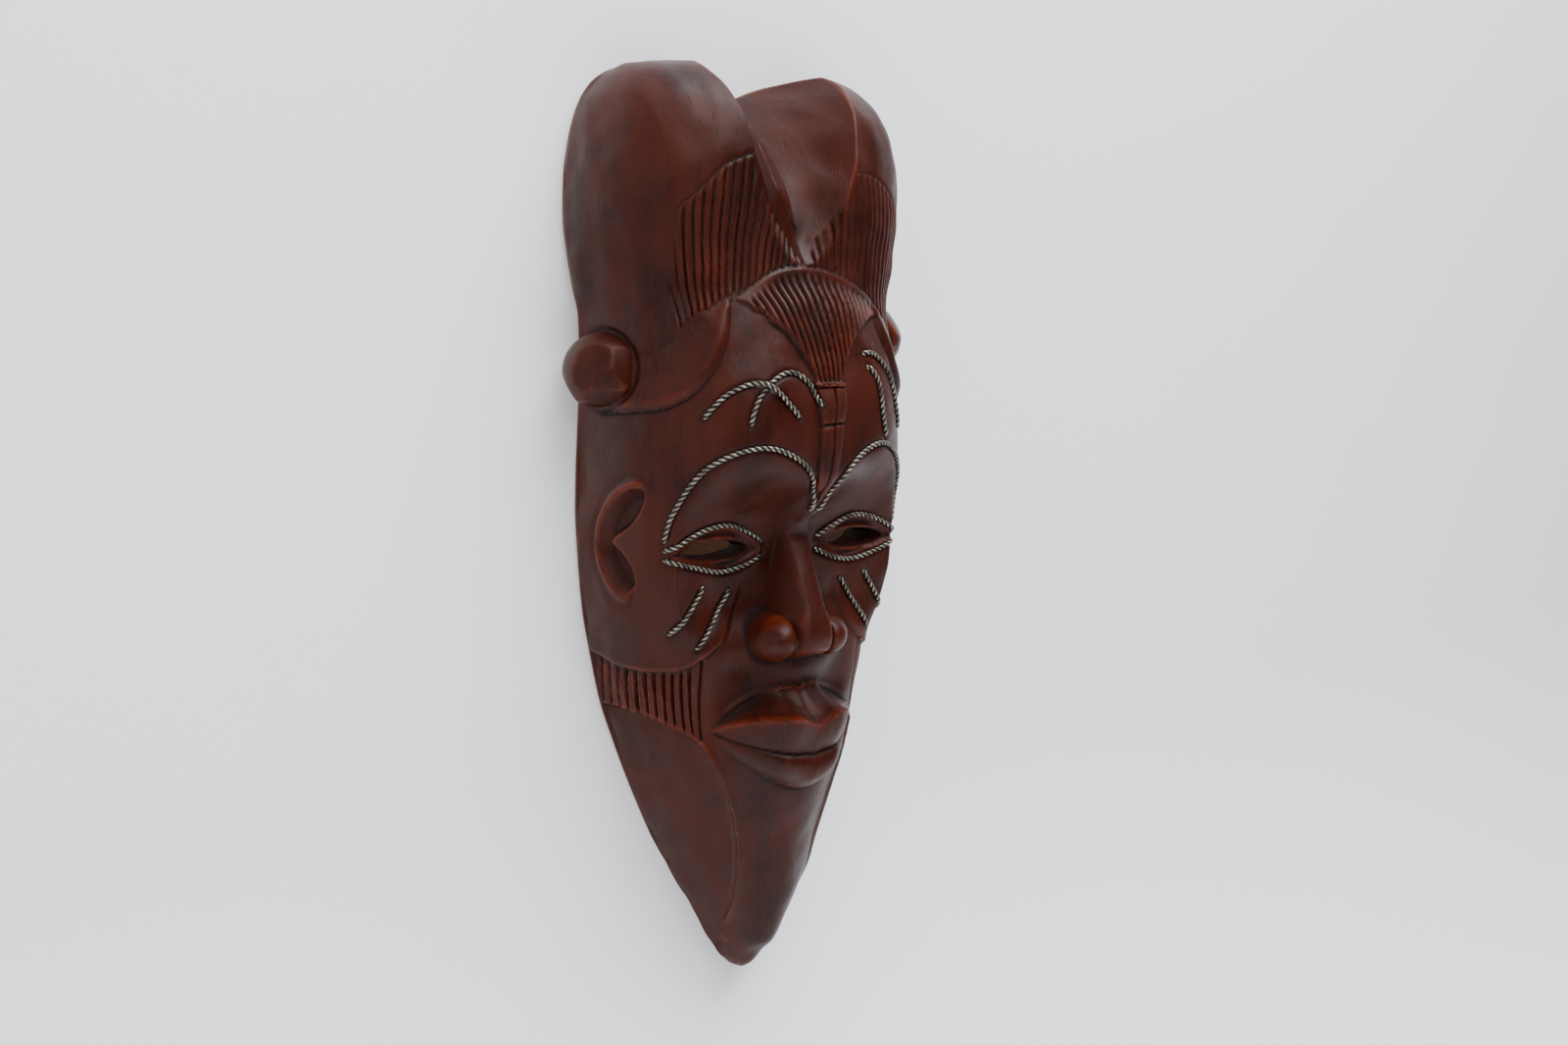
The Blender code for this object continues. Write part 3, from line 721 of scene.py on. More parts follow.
    def jaw(self, g: Front, half_arc: Array) -> None:
        """Hollow the flank below the beard, leaving a crisp ridge down to the chin.

        Args:
            g: the front.
            half_arc: half length of each section, for every point.
        """
        ridge = curve([(44.2, 118.1), (36.2, 104.8), (28.1, 86), (23.5, 66.6), (22.9, 40),
                       (25.0, 24), (17.1, 9), (12, -4)], 3)
        top = curve([(44.2, 118.1), (55.1, 123.9), (73.9, 129), (99.5, 129.9), (125, 130)], 3)
        flank = np.vstack([ridge[::-1], top, [(125, -4)]])
        inside = enclosed(flank, g.m, g.h)
        gaps = near(ridge, 140, g.m, g.h)
        under = near(top, 140, g.m, g.h)
        wall = np.clip(half_arc - g.m, 0, None)
        share = gaps / np.maximum(gaps + wall, 1e-3)
        scoop = 12.0 * np.sqrt(share) * (1 - share) ** 1.4 * ease(22, 88, g.h)
        step = 1.5 * ease(0, 1.5, under) * np.exp(-under / 9)
        g.rise -= np.where(inside, scoop * ease(-0.5, 3.5, gaps) + step, 0)
        g.rise += 1.5 * bump(gaps, 2.0) * ~inside * ease(6, 24, g.h)

    def hand_work(self, g: Front) -> None:
        """Leave the slight facets and swells of hand work all over.

        Args:
            g: the front.
        """
        g.rise += 0.30 * waves(g.s, g.h, 42, 31) + 0.12 * waves(g.s, g.h, 16, 32)
        smooth = ease(225, 300, g.h)
        cuts = scallops(g.s + 2 * waves(g.s, g.h, 60, 33), g.h, 13, 24, 34)
        g.rise += (0.10 + 0.16 * smooth) * cuts
        fine = scallops(g.s, g.h + 3 * waves(g.s, g.h, 50, 35), 5.0, 9.0, 36)
        g.rise += 0.045 * fine

    def wire_beds(self, g: Front, routes: list[Array], points: Array) -> None:
        """Sink a shallow bed under every wire.

        Args:
            g: the front.
            routes: each wire's scene-space route on the bare wood, in millimetres.
            points: the front's own points, in millimetres.
        """
        for route in routes:
            low, high = route.min(axis=0) - self.bed_reach, route.max(axis=0) + self.bed_reach
            close = np.all((points > low) & (points < high), axis=-1)
            gaps = distance_to(route, *points[close].T)
            g.rise[close] -= self.bed_depth * bump(gaps, self.bed_half)
            g.inlay[close] = np.maximum(g.inlay[close], bump(gaps, self.bed_stain_half))


# ---------------------------------------------------------------- mesh helpers

def mesh_from(name: str, points: Array, loops: Array, counts: Array) -> bpy.types.Mesh:
    """Mesh from arrays.

    Args:
        name: name of the mesh.
        points: scene positions in metres, one to a row.
        loops: vertex indices of all faces, one after another.
        counts: number of corners of each face.

    Returns:
        The new mesh, shaded smooth.
    """
    mesh = bpy.data.meshes.new(name)
    mesh.vertices.add(len(points))
    mesh.vertices.foreach_set("co", np.ascontiguousarray(points, np.float32).ravel())
    mesh.loops.add(len(loops))
    mesh.loops.foreach_set("vertex_index", np.ascontiguousarray(loops, np.int32))
    starts = np.concatenate([[0], np.cumsum(counts)[:-1]]).astype(np.int32)
    mesh.polygons.add(len(counts))
    mesh.polygons.foreach_set("loop_start", starts)
    mesh.update(calc_edges=True)
    mesh.validate()
    mesh.shade_smooth()
    return mesh


def piece_from(name: str, mesh: bpy.types.Mesh) -> bpy.types.Object:
    """Object for a mesh, linked to the scene.

    Args:
        name: name of the piece.
        mesh: its mesh.

    Returns:
        The new object.
    """
    piece = bpy.data.objects.new(name, mesh)
    bpy.context.scene.collection.objects.link(piece)
    return piece


def rings(name: str, rows: Array, capped: bool = True, closed: bool = False) -> bpy.types.Mesh:
    """Skin over a stack of closed rings of equal count.

    Args:
        name: name of the mesh.
        rows: scene positions, indexed by ring, then by place round it.
        capped: whether the first and last ring are filled.
        closed: whether the last ring joins the first one.

    Returns:
        The new mesh.
    """
    count, around = rows.shape[:2]
    i = np.arange(count if closed else count - 1)[:, None]
    j = np.arange(around)[None, :]
    after, over = (j + 1) % around, (i + 1) % count
    quads = np.stack([i * around + j, i * around + after, over * around + after,
                      over * around + j], axis=-1).reshape(-1, 4)
    loops, counts = [quads.ravel()], [np.full(len(quads), 4)]
    if capped and not closed:
        loops += [np.arange(around)[::-1], np.arange(around) + (count - 1) * around]
        counts += [np.array([around, around])]
    return mesh_from(name, rows.reshape(-1, 3), np.concatenate(loops), np.concatenate(counts))


def combine(target: bpy.types.Object, tools: list[bpy.types.Mesh], operation: str) -> None:
    """Join tool meshes to a piece, or cut it with them.

    Args:
        target: the piece, whose mesh is replaced.
        tools: closed meshes; they are used up.
        operation: UNION or DIFFERENCE.
    """
    for tool in tools:
        cutter = piece_from("tool", tool)
        before = len(target.data.vertices)
        for solver in ("MANIFOLD", "EXACT"):
            modifier = target.modifiers.new("cut", "BOOLEAN")
            modifier.operation, modifier.object, modifier.solver = operation, cutter, solver
            graph = bpy.context.evaluated_depsgraph_get()
            made = bpy.data.meshes.new_from_object(target.evaluated_get(graph))
            target.modifiers.remove(modifier)
            if len(made.vertices) not in (0, before):
                break
        old, name = target.data, target.data.name
        target.data = made
        bpy.data.meshes.remove(old)
        made.name = name
        bpy.data.objects.remove(cutter)
        bpy.data.meshes.remove(tool)


def extruded(name: str, outline: Array, levels: Stations) -> bpy.types.Mesh:
    """Bar along the depth direction with a given outline.

    Args:
        name: name of the mesh.
        outline: (x, height) corners in millimetres, counter-clockwise from the front.
        levels: (depth, scale of the outline) pairs, from the wall towards the viewer.

    Returns:
        The new closed mesh.
    """
    middle = outline.mean(axis=0)
    rows = []
    for depth, scale in levels:
        x, h = (middle + (outline - middle) * scale).T
        rows.append(to_scene(x, np.full(len(x), depth), h))
    return rings(name, np.array(rows))


def vertex_values(mesh: bpy.types.Mesh, name: str, values: Array) -> None:
    """Store one number for each vertex under an attribute name.

    Args:
        mesh: the mesh.
        name: name of the attribute.
        values: one value for each vertex.
    """
    if name in mesh.attributes:
        mesh.attributes.remove(mesh.attributes[name])
    layer = mesh.attributes.new(name, "FLOAT", "POINT")
    layer.data.foreach_set("value", np.ascontiguousarray(values, np.float32))


def vertex_arrays(mesh: bpy.types.Mesh) -> tuple[Array, Array, Array]:
    """Positions and normals of the vertices, and the pairs that edges join.

    Args:
        mesh: the mesh that is read.

    Returns:
        Positions, normals and pairs, one to a row.
    """
    places = np.empty(len(mesh.vertices) * 3, np.float32)
    mesh.vertices.foreach_get("co", places)
    normals = np.empty(len(mesh.vertices) * 3, np.float32)
    mesh.vertex_normals.foreach_get("vector", normals)
    pairs = np.empty(len(mesh.edges) * 2, np.int32)
    mesh.edges.foreach_get("vertices", pairs)
    return places.reshape(-1, 3).astype(float), normals.reshape(-1, 3), pairs.reshape(-1, 2)


def proudness(mesh: bpy.types.Mesh, rounds: tuple[int, ...]) -> list[Array]:
    """How far each vertex stands out from its smoothed surroundings, in millimetres.

    Args:
        mesh: the mesh that is measured.
        rounds: numbers of smoothing rounds; more rounds compare with a wider patch.

    Returns:
        For each number of rounds, positive values on edges and negative ones in grooves.
    """
    places, normals, pairs = vertex_arrays(mesh)
    first, second = pairs.T
    degree = np.bincount(pairs.ravel(), minlength=len(places)).clip(1)[:, None]
    smooth, results = places.copy(), []
    for turn in range(1, max(rounds) + 1):
        total = np.empty_like(smooth)
        for axis in range(3):
            values = smooth[:, axis]
            total[:, axis] = (np.bincount(first, values[second], len(places))
                              + np.bincount(second, values[first], len(places)))
        smooth = 0.4 * smooth + 0.6 * total / degree
        if turn in rounds:
            results.append(np.einsum("ij,ij->i", places - smooth, normals) / MM)
    return results


# ---------------------------------------------------------------- shader helpers

class Sheet:
    """A node tree that is filled in one call at a time."""

    def __init__(self, tree: bpy.types.NodeTree) -> None:
        """Wrap a tree."""
        self.tree = tree

    def node(self, kind: str, inputs: dict | None = None, **settings) -> bpy.types.Node:
        """Add a node.

        Args:
            kind: the node's type, without its ShaderNode prefix, or a full type name.
            inputs: values or sockets for its inputs, by name or number.
            settings: properties of the node.

        Returns:
            The new node.
        """
        full = kind if kind.startswith("Node") else "ShaderNode" + kind
        made = self.tree.nodes.new(full)
        for name, value in settings.items():
            setattr(made, name, value)
        self.fill(made, inputs or {})
        return made

    def feed(self, socket: bpy.types.NodeSocket, value: object) -> None:
        """Link a socket to an input, or set the input's value.

        Args:
            socket: the input.
            value: a socket, or a plain value.
        """
        if isinstance(value, bpy.types.NodeSocket):
            self.tree.links.new(value, socket)
        else:
            socket.default_value = value

    def fill(self, node: bpy.types.Node, values: dict) -> None:
        """Feed several inputs of a node, by name or number."""
        for key, value in values.items():
            self.feed(node.inputs[key], value)

    def math(self, operation: str, *values: object, clamp: bool = False) -> bpy.types.NodeSocket:
        """Result of a Math node."""
        made = self.node("Math", dict(enumerate(values)), operation=operation, use_clamp=clamp)
        return made.outputs[0]

    def times(self, a: object, b: object) -> bpy.types.NodeSocket:
        """Product of two values."""
        return self.math("MULTIPLY", a, b)

    def mix(self, share: object, a: object, b: object, blend: str = "MIX") -> bpy.types.NodeSocket:
        """Colour between a and b, or b blended on to a."""
        made = self.node("Mix", {0: share, 6: a, 7: b}, data_type="RGBA", blend_type=blend)
        return made.outputs[2]

    def span(self, value: object, low: object, high: object, start: float = 0.0,
             end: float = 1.0) -> bpy.types.NodeSocket:
        """Value eased from start to end as it goes from low to high.

        Args:
            value: the value or socket that is mapped.
            low: where the easing starts.
            high: where it ends.
            start: result at low.
            end: result at high.

        Returns:
            The eased result.
        """
        made = self.node("MapRange", {0: value, 1: low, 2: high, 3: start, 4: end},
                         interpolation_type="SMOOTHSTEP")
        return made.outputs[0]

    def noise(self, vector: object, scale: object, detail: float = 3.0,
              rough: float = 0.55) -> bpy.types.NodeSocket:
        """Value of a Noise node.

        Args:
            vector: coordinates.
            scale: cells to a metre.
            detail: number of finer octaves.
            rough: strength of the finer octaves.

        Returns:
            The noise value.
        """
        made = self.node("TexNoise", {"Vector": vector, "Scale": scale, "Detail": detail,
                                      "Roughness": rough})
        return made.outputs["Fac"]

    def stretched(self, vector: object, scale: tuple[float, float, float],
                  turn: tuple[float, float, float] = (0, 0, 0)) -> bpy.types.NodeSocket:
        """Coordinates scaled along each axis, and turned."""
        made = self.node("Mapping", {"Vector": vector, "Scale": scale, "Rotation": turn})
        return made.outputs[0]

    def kept(self, name: str) -> bpy.types.NodeSocket:
        """Value of a vertex attribute."""
        return self.node("Attribute", attribute_name=name).outputs["Fac"]


@dataclass(frozen=True)
class Effect:
    """A shared shader effect: a node group with named sockets."""

    name: str
    inputs: tuple[tuple[str, str, object], ...]
    outputs: tuple[tuple[str, str], ...]

    def started(self) -> tuple[Sheet, bpy.types.Node, bpy.types.Node]:
        """New group with its sockets, and its input and output nodes.

        Returns:
            The sheet of the group, its input node and its output node.
        """
        tree = bpy.data.node_groups.new(self.name, "ShaderNodeTree")
        for name, kind, value in self.inputs:
            socket = tree.interface.new_socket(name, in_out="INPUT",
                                               socket_type="NodeSocket" + kind)
            if value is not None:
                socket.default_value = value
        for name, kind in self.outputs:
            tree.interface.new_socket(name, in_out="OUTPUT", socket_type="NodeSocket" + kind)
        sheet = Sheet(tree)
        return sheet, sheet.node("NodeGroupInput"), sheet.node("NodeGroupOutput")


class Effects:
    """The shader effects that more than one finish uses, each built once."""

    def __init__(self) -> None:
        """Build every effect."""
        self.grain = self.build_grain()
        self.wear_and_shade = self.build_wear_and_shade()
        self.grime = self.build_grime()

    def build_grain(self) -> bpy.types.NodeTree:
        """Long wood fibres, growth bands and fine pores along the height.

        Returns:
            The node group.
        """
        effect = Effect("timber_grain",
                        (("Vector", "Vector", None), ("Fibre Scale", "Float", 900.0),
                         ("Band Scale", "Float", 60.0)),
                        (("Fibre", "Float"), ("Band", "Float"), ("Pores", "Float"),
                         ("Height", "Float")))
        sheet, given, out = effect.started()
        vector = given.outputs["Vector"]
        sway = sheet.node("TexNoise", {"Vector": vector, "Scale": 9.0, "Detail": 2.0})
        bend = sheet.node("VectorMath", {0: sway.outputs["Color"], "Scale": 0.012},
                          operation="SCALE").outputs[0]
        bent = sheet.node("VectorMath", {0: vector, 1: bend}, operation="ADD").outputs[0]
        long_way = sheet.stretched(bent, (1.0, 1.0, 0.05))
        fibre = sheet.noise(long_way, given.outputs["Fibre Scale"], 4.0, 0.6)
        band_way = sheet.stretched(bent, (1.0, 0.55, 0.09))
        band = sheet.noise(band_way, given.outputs["Band Scale"], 3.0, 0.5)
        pore_way = sheet.stretched(bent, (1.0, 1.0, 0.11))
        pore = sheet.node("TexVoronoi", {"Vector": pore_way, "Scale": 620.0}).outputs["Distance"]
        pores = sheet.times(sheet.span(pore, 0.28, 0.08),
                           sheet.span(sheet.noise(bent, 210.0, 1.0), 0.45, 0.65))
        height = sheet.math("SUBTRACT", sheet.times(fibre, 0.6),
                            sheet.times(pores, 0.8))
        sheet.fill(out, {"Fibre": fibre, "Band": band, "Pores": pores, "Height": height})
        return sheet.tree

    def build_wear_and_shade(self) -> bpy.types.NodeTree:
        """Rubbed edges with a painted highlight, and painted shade in creases and broad hollows,
        from how proud the surface stands.

        Returns:
            The node group.
        """
        effect = Effect("rubbed_edges_and_crease_shade",
                        (("Vector", "Vector", None), ("Proud", "Float", 0.0),
                         ("Wide Proud", "Float", 0.0), ("Edge Start", "Float", 0.07),
                         ("Edge End", "Float", 0.30), ("Crease Depth", "Float", 0.36)),
                        (("Edge", "Float"), ("Crease", "Float")))
        sheet, given, out = effect.started()
        patchy = sheet.span(sheet.noise(given.outputs["Vector"], 85.0, 4.0, 0.65), 0.36, 0.64)
        edge = sheet.span(given.outputs["Proud"], given.outputs["Edge Start"],
                          given.outputs["Edge End"])
        broad = sheet.span(given.outputs["Wide Proud"], 0.45, 2.00)
        # rubbed wear that doubles as a painted highlight: proud edges and broad swells
        worn_and_highlit = sheet.math("MAXIMUM", edge, sheet.times(broad, 0.16))
        worn_and_highlit = sheet.times(worn_and_highlit, sheet.math("MULTIPLY_ADD", patchy, 0.75, 0.25))
        # painted shade: narrow creases and broad hollows give the mask that darkens the wood
        sunk = sheet.times(given.outputs["Proud"], -1.0)
        crease = sheet.span(sunk, 0.04, given.outputs["Crease Depth"])
        wide = sheet.span(given.outputs["Wide Proud"], -0.30, -1.60)
        filled = sheet.math("MAXIMUM", crease, sheet.times(wide, 0.28))
        sheet.fill(out, {"Edge": worn_and_highlit, "Crease": filled})
        return sheet.tree

    def build_grime(self) -> bpy.types.NodeTree:
        """Blotches of uneven finish, fine specks and faint scratches.

        Returns:
            The node group.
        """
        effect = Effect("handling_marks", (("Vector", "Vector", None), ("Scale", "Float", 30.0)),
                        (("Blotch", "Float"), ("Speck", "Float"), ("Scratch", "Float")))
        sheet, given, out = effect.started()
        vector = given.outputs["Vector"]
        blotch = sheet.node("TexNoise", {"Vector": vector, "Scale": given.outputs["Scale"],
                                         "Detail": 5.0, "Roughness": 0.6, "Distortion": 0.4})
        speck = sheet.node("TexVoronoi", {"Vector": vector, "Scale": 420.0}).outputs["Distance"]
        rare = sheet.span(sheet.noise(vector, 130.0, 2.0), 0.60, 0.72)
        specks = sheet.times(sheet.span(speck, 0.20, 0.10), rare)
        slanted = sheet.stretched(vector, (1.0, 0.35, 0.06), (0.3, 0.5, 0.2))
        lines = sheet.noise(slanted, 520.0, 1.0)
        patch = sheet.span(sheet.noise(vector, 34.0, 1.0), 0.5, 0.66)
        scratch = sheet.times(sheet.span(lines, 0.66, 0.74), patch)
        sheet.fill(out, {"Blotch": blotch.outputs["Fac"], "Speck": specks, "Scratch": scratch})
        return sheet.tree


@dataclass(frozen=True)
class Finish:
    """What every finish shares: its name and how it starts a material."""

    name: str
    slot: str
    relief_strength: float = 0.5
    relief_depth: float = 0.00022

    def started(self) -> tuple[bpy.types.Material, Sheet, bpy.types.Node]:
        """New material, its sheet, and its Principled shader.

        Returns:
            The material, the sheet and the shader.
        """
        material = bpy.data.materials.new(self.name)
        material.use_nodes = True
        sheet = Sheet(material.node_tree)
        return material, sheet, material.node_tree.nodes["Principled BSDF"]

    def placed(self, sheet: Sheet, effect: bpy.types.NodeTree, inputs: dict) -> bpy.types.Node:
        """Put a shared effect into a material.

        Args:
            sheet: the material's sheet.
            effect: the effect's group.
            inputs: values or sockets for the group's inputs.

        Returns:
            The group node.
        """
        node = sheet.tree.nodes.new("ShaderNodeGroup")
        node.node_tree = effect
        sheet.fill(node, inputs)
        return node

    def emboss(self, sheet: Sheet, shader: bpy.types.Node, height: object) -> None:
        """Give a shader a fine relief.

        Args:
            sheet: the material's sheet.
            shader: the shader.
            height: the relief's height.
        """
        relief = sheet.node("Bump", {"Strength": self.relief_strength,
                                     "Distance": self.relief_depth, "Height": height})
        sheet.feed(shader.inputs["Normal"], relief.outputs[0])


@dataclass(frozen=True)
class StainedWood(Finish):
    """Dark red-brown stain, rubbed through to orange on edges with a painted highlight, and painted
    shade that turns cuts and creases black.
    """

    deep: Colour = (0.0095, 0.0013, 0.0007, 1)
    body: Colour = (0.039, 0.0048, 0.0013, 1)
    # orange of edges rubbed through the stain, also serving as a painted highlight
    worn_highlight: Colour = (0.150, 0.021, 0.0045, 1)
    # dark of pores and inlay joints, also used as the painted shade in creases
    dark_and_shade: Colour = (0.0045, 0.0020, 0.0016, 1)
    bare: Colour = (0.230, 0.120, 0.062, 1)
    chip: Colour = (0.42, 0.30, 0.20, 1)
    roughness: tuple[float, float] = (0.34, 0.52)
    fibre_share: float = 0.42
    pore_share: float = 0.55
    rubbed_highlight_share: float = 0.38
    crease_shade_share: float = 0.72
    inlay_share: float = 0.55
    specular: float = 0.14

    def made(self, effects: Effects) -> bpy.types.Material:
        """Build the material.

        Args:
            effects: the shared effects.

        Returns:
            The finished material.
        """
        material, sheet, shader = self.started()
        vector = sheet.node("TexCoord").outputs["Object"]
        grain = self.placed(sheet, effects.grain, {"Vector": vector, "Fibre Scale": 760.0,
                                                   "Band Scale": 75.0}).outputs
        wear_and_shade = self.placed(sheet, effects.wear_and_shade,
                           {"Vector": vector, "Proud": sheet.kept("proud"),
                            "Wide Proud": sheet.kept("wide_proud")}).outputs
        marks = self.placed(sheet, effects.grime, {"Vector": vector, "Scale": 26.0}).outputs
        back = sheet.kept("back")

        tone = sheet.math("ADD", sheet.times(marks["Blotch"], 0.62),
                          sheet.times(grain["Band"], 0.38))
        colour = sheet.mix(sheet.span(tone, 0.33, 0.64), self.deep, self.body)
        fibre = sheet.span(grain["Fibre"], 0.36, 0.66)
        colour = sheet.mix(sheet.times(fibre, self.fibre_share), colour, self.body)
        colour = sheet.mix(sheet.times(grain["Pores"], self.pore_share), colour, self.dark_and_shade)
        # rubbed wear and painted highlight: proud edges mixed towards orange
        rubbed = sheet.times(wear_and_shade["Edge"], self.rubbed_highlight_share)
        colour = sheet.mix(rubbed, colour, self.worn_highlight)
        # painted shade: creases, cuts and broad hollows mixed towards near black
        colour = sheet.mix(sheet.times(wear_and_shade["Crease"], self.crease_shade_share), colour, self.dark_and_shade)
        colour = sheet.mix(sheet.times(sheet.kept("inlay"), self.inlay_share), colour, self.dark_and_shade)

        plain = sheet.mix(sheet.span(grain["Fibre"], 0.3, 0.7), self.bare,
                          tuple(0.55 * c for c in self.bare[:3]) + (1,))
        plain = sheet.mix(sheet.span(marks["Blotch"], 0.42, 0.66, 0.12, 0.62), plain, self.body)
        # painted shade in the creases and hollows of the bare back
        plain = sheet.mix(sheet.times(wear_and_shade["Crease"], 0.6), plain, self.deep)
        colour = sheet.mix(back, colour, plain)
        nick = sheet.times(marks["Speck"], sheet.span(wear_and_shade["Edge"], 0.25, 0.6))
        colour = sheet.mix(sheet.times(nick, 0.8), colour, self.chip)
        sheet.feed(shader.inputs["Base Color"], colour)

        satin = sheet.span(marks["Blotch"], 0.32, 0.68, *self.roughness)
        satin = sheet.math("MULTIPLY_ADD", wear_and_shade["Crease"], 0.30, satin)
        satin = sheet.math("MULTIPLY_ADD", marks["Scratch"], 0.12, satin)
        satin = sheet.math("MULTIPLY_ADD", wear_and_shade["Edge"], -0.06, satin)
        satin = sheet.math("MULTIPLY_ADD", back, 0.34, satin, clamp=True)
        sheet.feed(shader.inputs["Roughness"], satin)

        height = sheet.math("MULTIPLY_ADD", marks["Scratch"], -0.5, grain["Height"])
        height = sheet.math("MULTIPLY_ADD", sheet.noise(vector, 240.0, 3.0), 0.9, height)
        self.emboss(sheet, shader, height)
        shader.inputs["Specular IOR Level"].default_value = self.specular
        return material


@dataclass(frozen=True)
class DrawnMetal(Finish):
    """Drawn or pressed metal with tarnish in its creases and brighter rubbed parts."""

    bright: Colour = (0.30, 0.265, 0.21, 1)
    dull: Colour = (0.085, 0.075, 0.065, 1)
    tarnish: Colour = (0.02, 0.016, 0.013, 1)
    roughness: tuple[float, float] = (0.24, 0.50)
    creased: str = "lay"
    tarnish_spread: tuple[float, float] = (0.03, 0.28)
    tarnish_share: float = 0.94
    relief_strength: float = 0.35
    relief_depth: float = 0.00006

    def made(self, effects: Effects) -> bpy.types.Material:
        """Build the material.

        Args:
            effects: the shared effects.

        Returns:
            The finished material.
        """
        material, sheet, shader = self.started()
        vector = sheet.node("TexCoord").outputs["Object"]
        marks = self.placed(sheet, effects.grime, {"Vector": vector, "Scale": 160.0}).outputs
        crease = sheet.span(sheet.kept(self.creased), *self.tarnish_spread)
        colour = sheet.mix(sheet.span(marks["Blotch"], 0.40, 0.66), self.bright, self.dull)
        colour = sheet.mix(sheet.times(crease, self.tarnish_share), colour, self.tarnish)
        colour = sheet.mix(sheet.times(marks["Speck"], 0.7), colour, self.tarnish)
        sheet.feed(shader.inputs["Base Color"], colour)
        rough = sheet.span(marks["Blotch"], 0.35, 0.65, *self.roughness)
        rough = sheet.math("MULTIPLY_ADD", crease, 0.30, rough)
        rough = sheet.math("MULTIPLY_ADD", marks["Scratch"], 0.15, rough, clamp=True)
        sheet.feed(shader.inputs["Roughness"], rough)
        metal = sheet.math("SUBTRACT", 1.0, sheet.times(crease, 0.55))
        sheet.feed(shader.inputs["Metallic"], metal)
        height = sheet.math("MULTIPLY_ADD", marks["Scratch"], -0.6, marks["Blotch"])
        self.emboss(sheet, shader, height)
        return material


WOOD = StainedWood("stained_wood_satin", "stained_wood")
WIRE = DrawnMetal("twisted_wire_silvery", "twisted_wire")
BRASS = DrawnMetal("hanger_brass_aged", "hanger_brass", bright=(0.62, 0.42, 0.17, 1),
                   dull=(0.34, 0.21, 0.08, 1), tarnish=(0.05, 0.028, 0.012, 1),
                   creased="proud_dark")
STEEL = DrawnMetal("screw_steel_zinc", "screw_steel", bright=(0.66, 0.66, 0.64, 1),
                   dull=(0.36, 0.36, 0.36, 1), tarnish=(0.05, 0.045, 0.04, 1),
                   creased="proud_dark")


# ---------------------------------------------------------------- the carved head

@dataclass
class Inlays:
    """The places of the twisted wires, as (x, height) points on the face."""

    brow: Stations = (
        (61, 206.6), (58.4, 220), (50, 236.8), (38, 244.6), (26, 245.4), (12, 238.2),
        (4.2, 226), (2.1, 217.5))
    eye_upper: Stations = (
        (60.8, 203.1), (48, 210), (35, 212.8), (24, 209.6), (14.5, 204.2))
    eye_lower: Stations = (
        (60.6, 199.4), (48, 195.6), (35, 192.7), (24, 194.6), (14.5, 198.7))
    cheek_inner: Stations = (
        (29.7, 184.7), (37.6, 172.6), (45.9, 160.8))
    cheek_outer: Stations = (
        (42.5, 186.9), (49, 177), (55.9, 167.1))
    forehead: dict[str, Stations] = field(default_factory=lambda: {
        "forehead_wire_outer_left": [(-50.8, 257.6), (-44, 266.5), (-33, 271.5), (-24, 267),
                                     (-15.3, 257.6)],
        "forehead_wire_inner_left": [(-35.6, 255), (-33, 264.5), (-26, 272.5), (-17.5, 276),
                                     (-10.1, 272), (-5.8, 262.2)],
        "forehead_wire_outer_right": [(22.5, 283.6), (30.5, 283), (39, 275.5), (45.4, 262),
                                      (50.4, 250.2)],
        "forehead_wire_inner_right": [(24.3, 278.6), (29, 272.5), (31.2, 260), (35.1, 248)]})
    crossing: tuple[float, float] = (-28.6, 270.2)
    rider: str = "forehead_wire_outer_left"

    def routes(self) -> dict[str, Stations]:
        """Every wire's points, by the name of its node.

        Returns:
            The (x, height) points of each wire.
        """
        pairs = {"brow_wire": self.brow, "eye_wire_upper": self.eye_upper,
                 "eye_wire_lower": self.eye_lower, "cheek_wire_inner": self.cheek_inner,
                 "cheek_wire_outer": self.cheek_outer}
        made = {}
        for name, points in pairs.items():
            for side in Side:
                mirrored = [(side.value * x, h) for x, h in points]
                made[f"{name}_{side.name.lower()}"] = mirrored
        return {**made, **self.forehead}


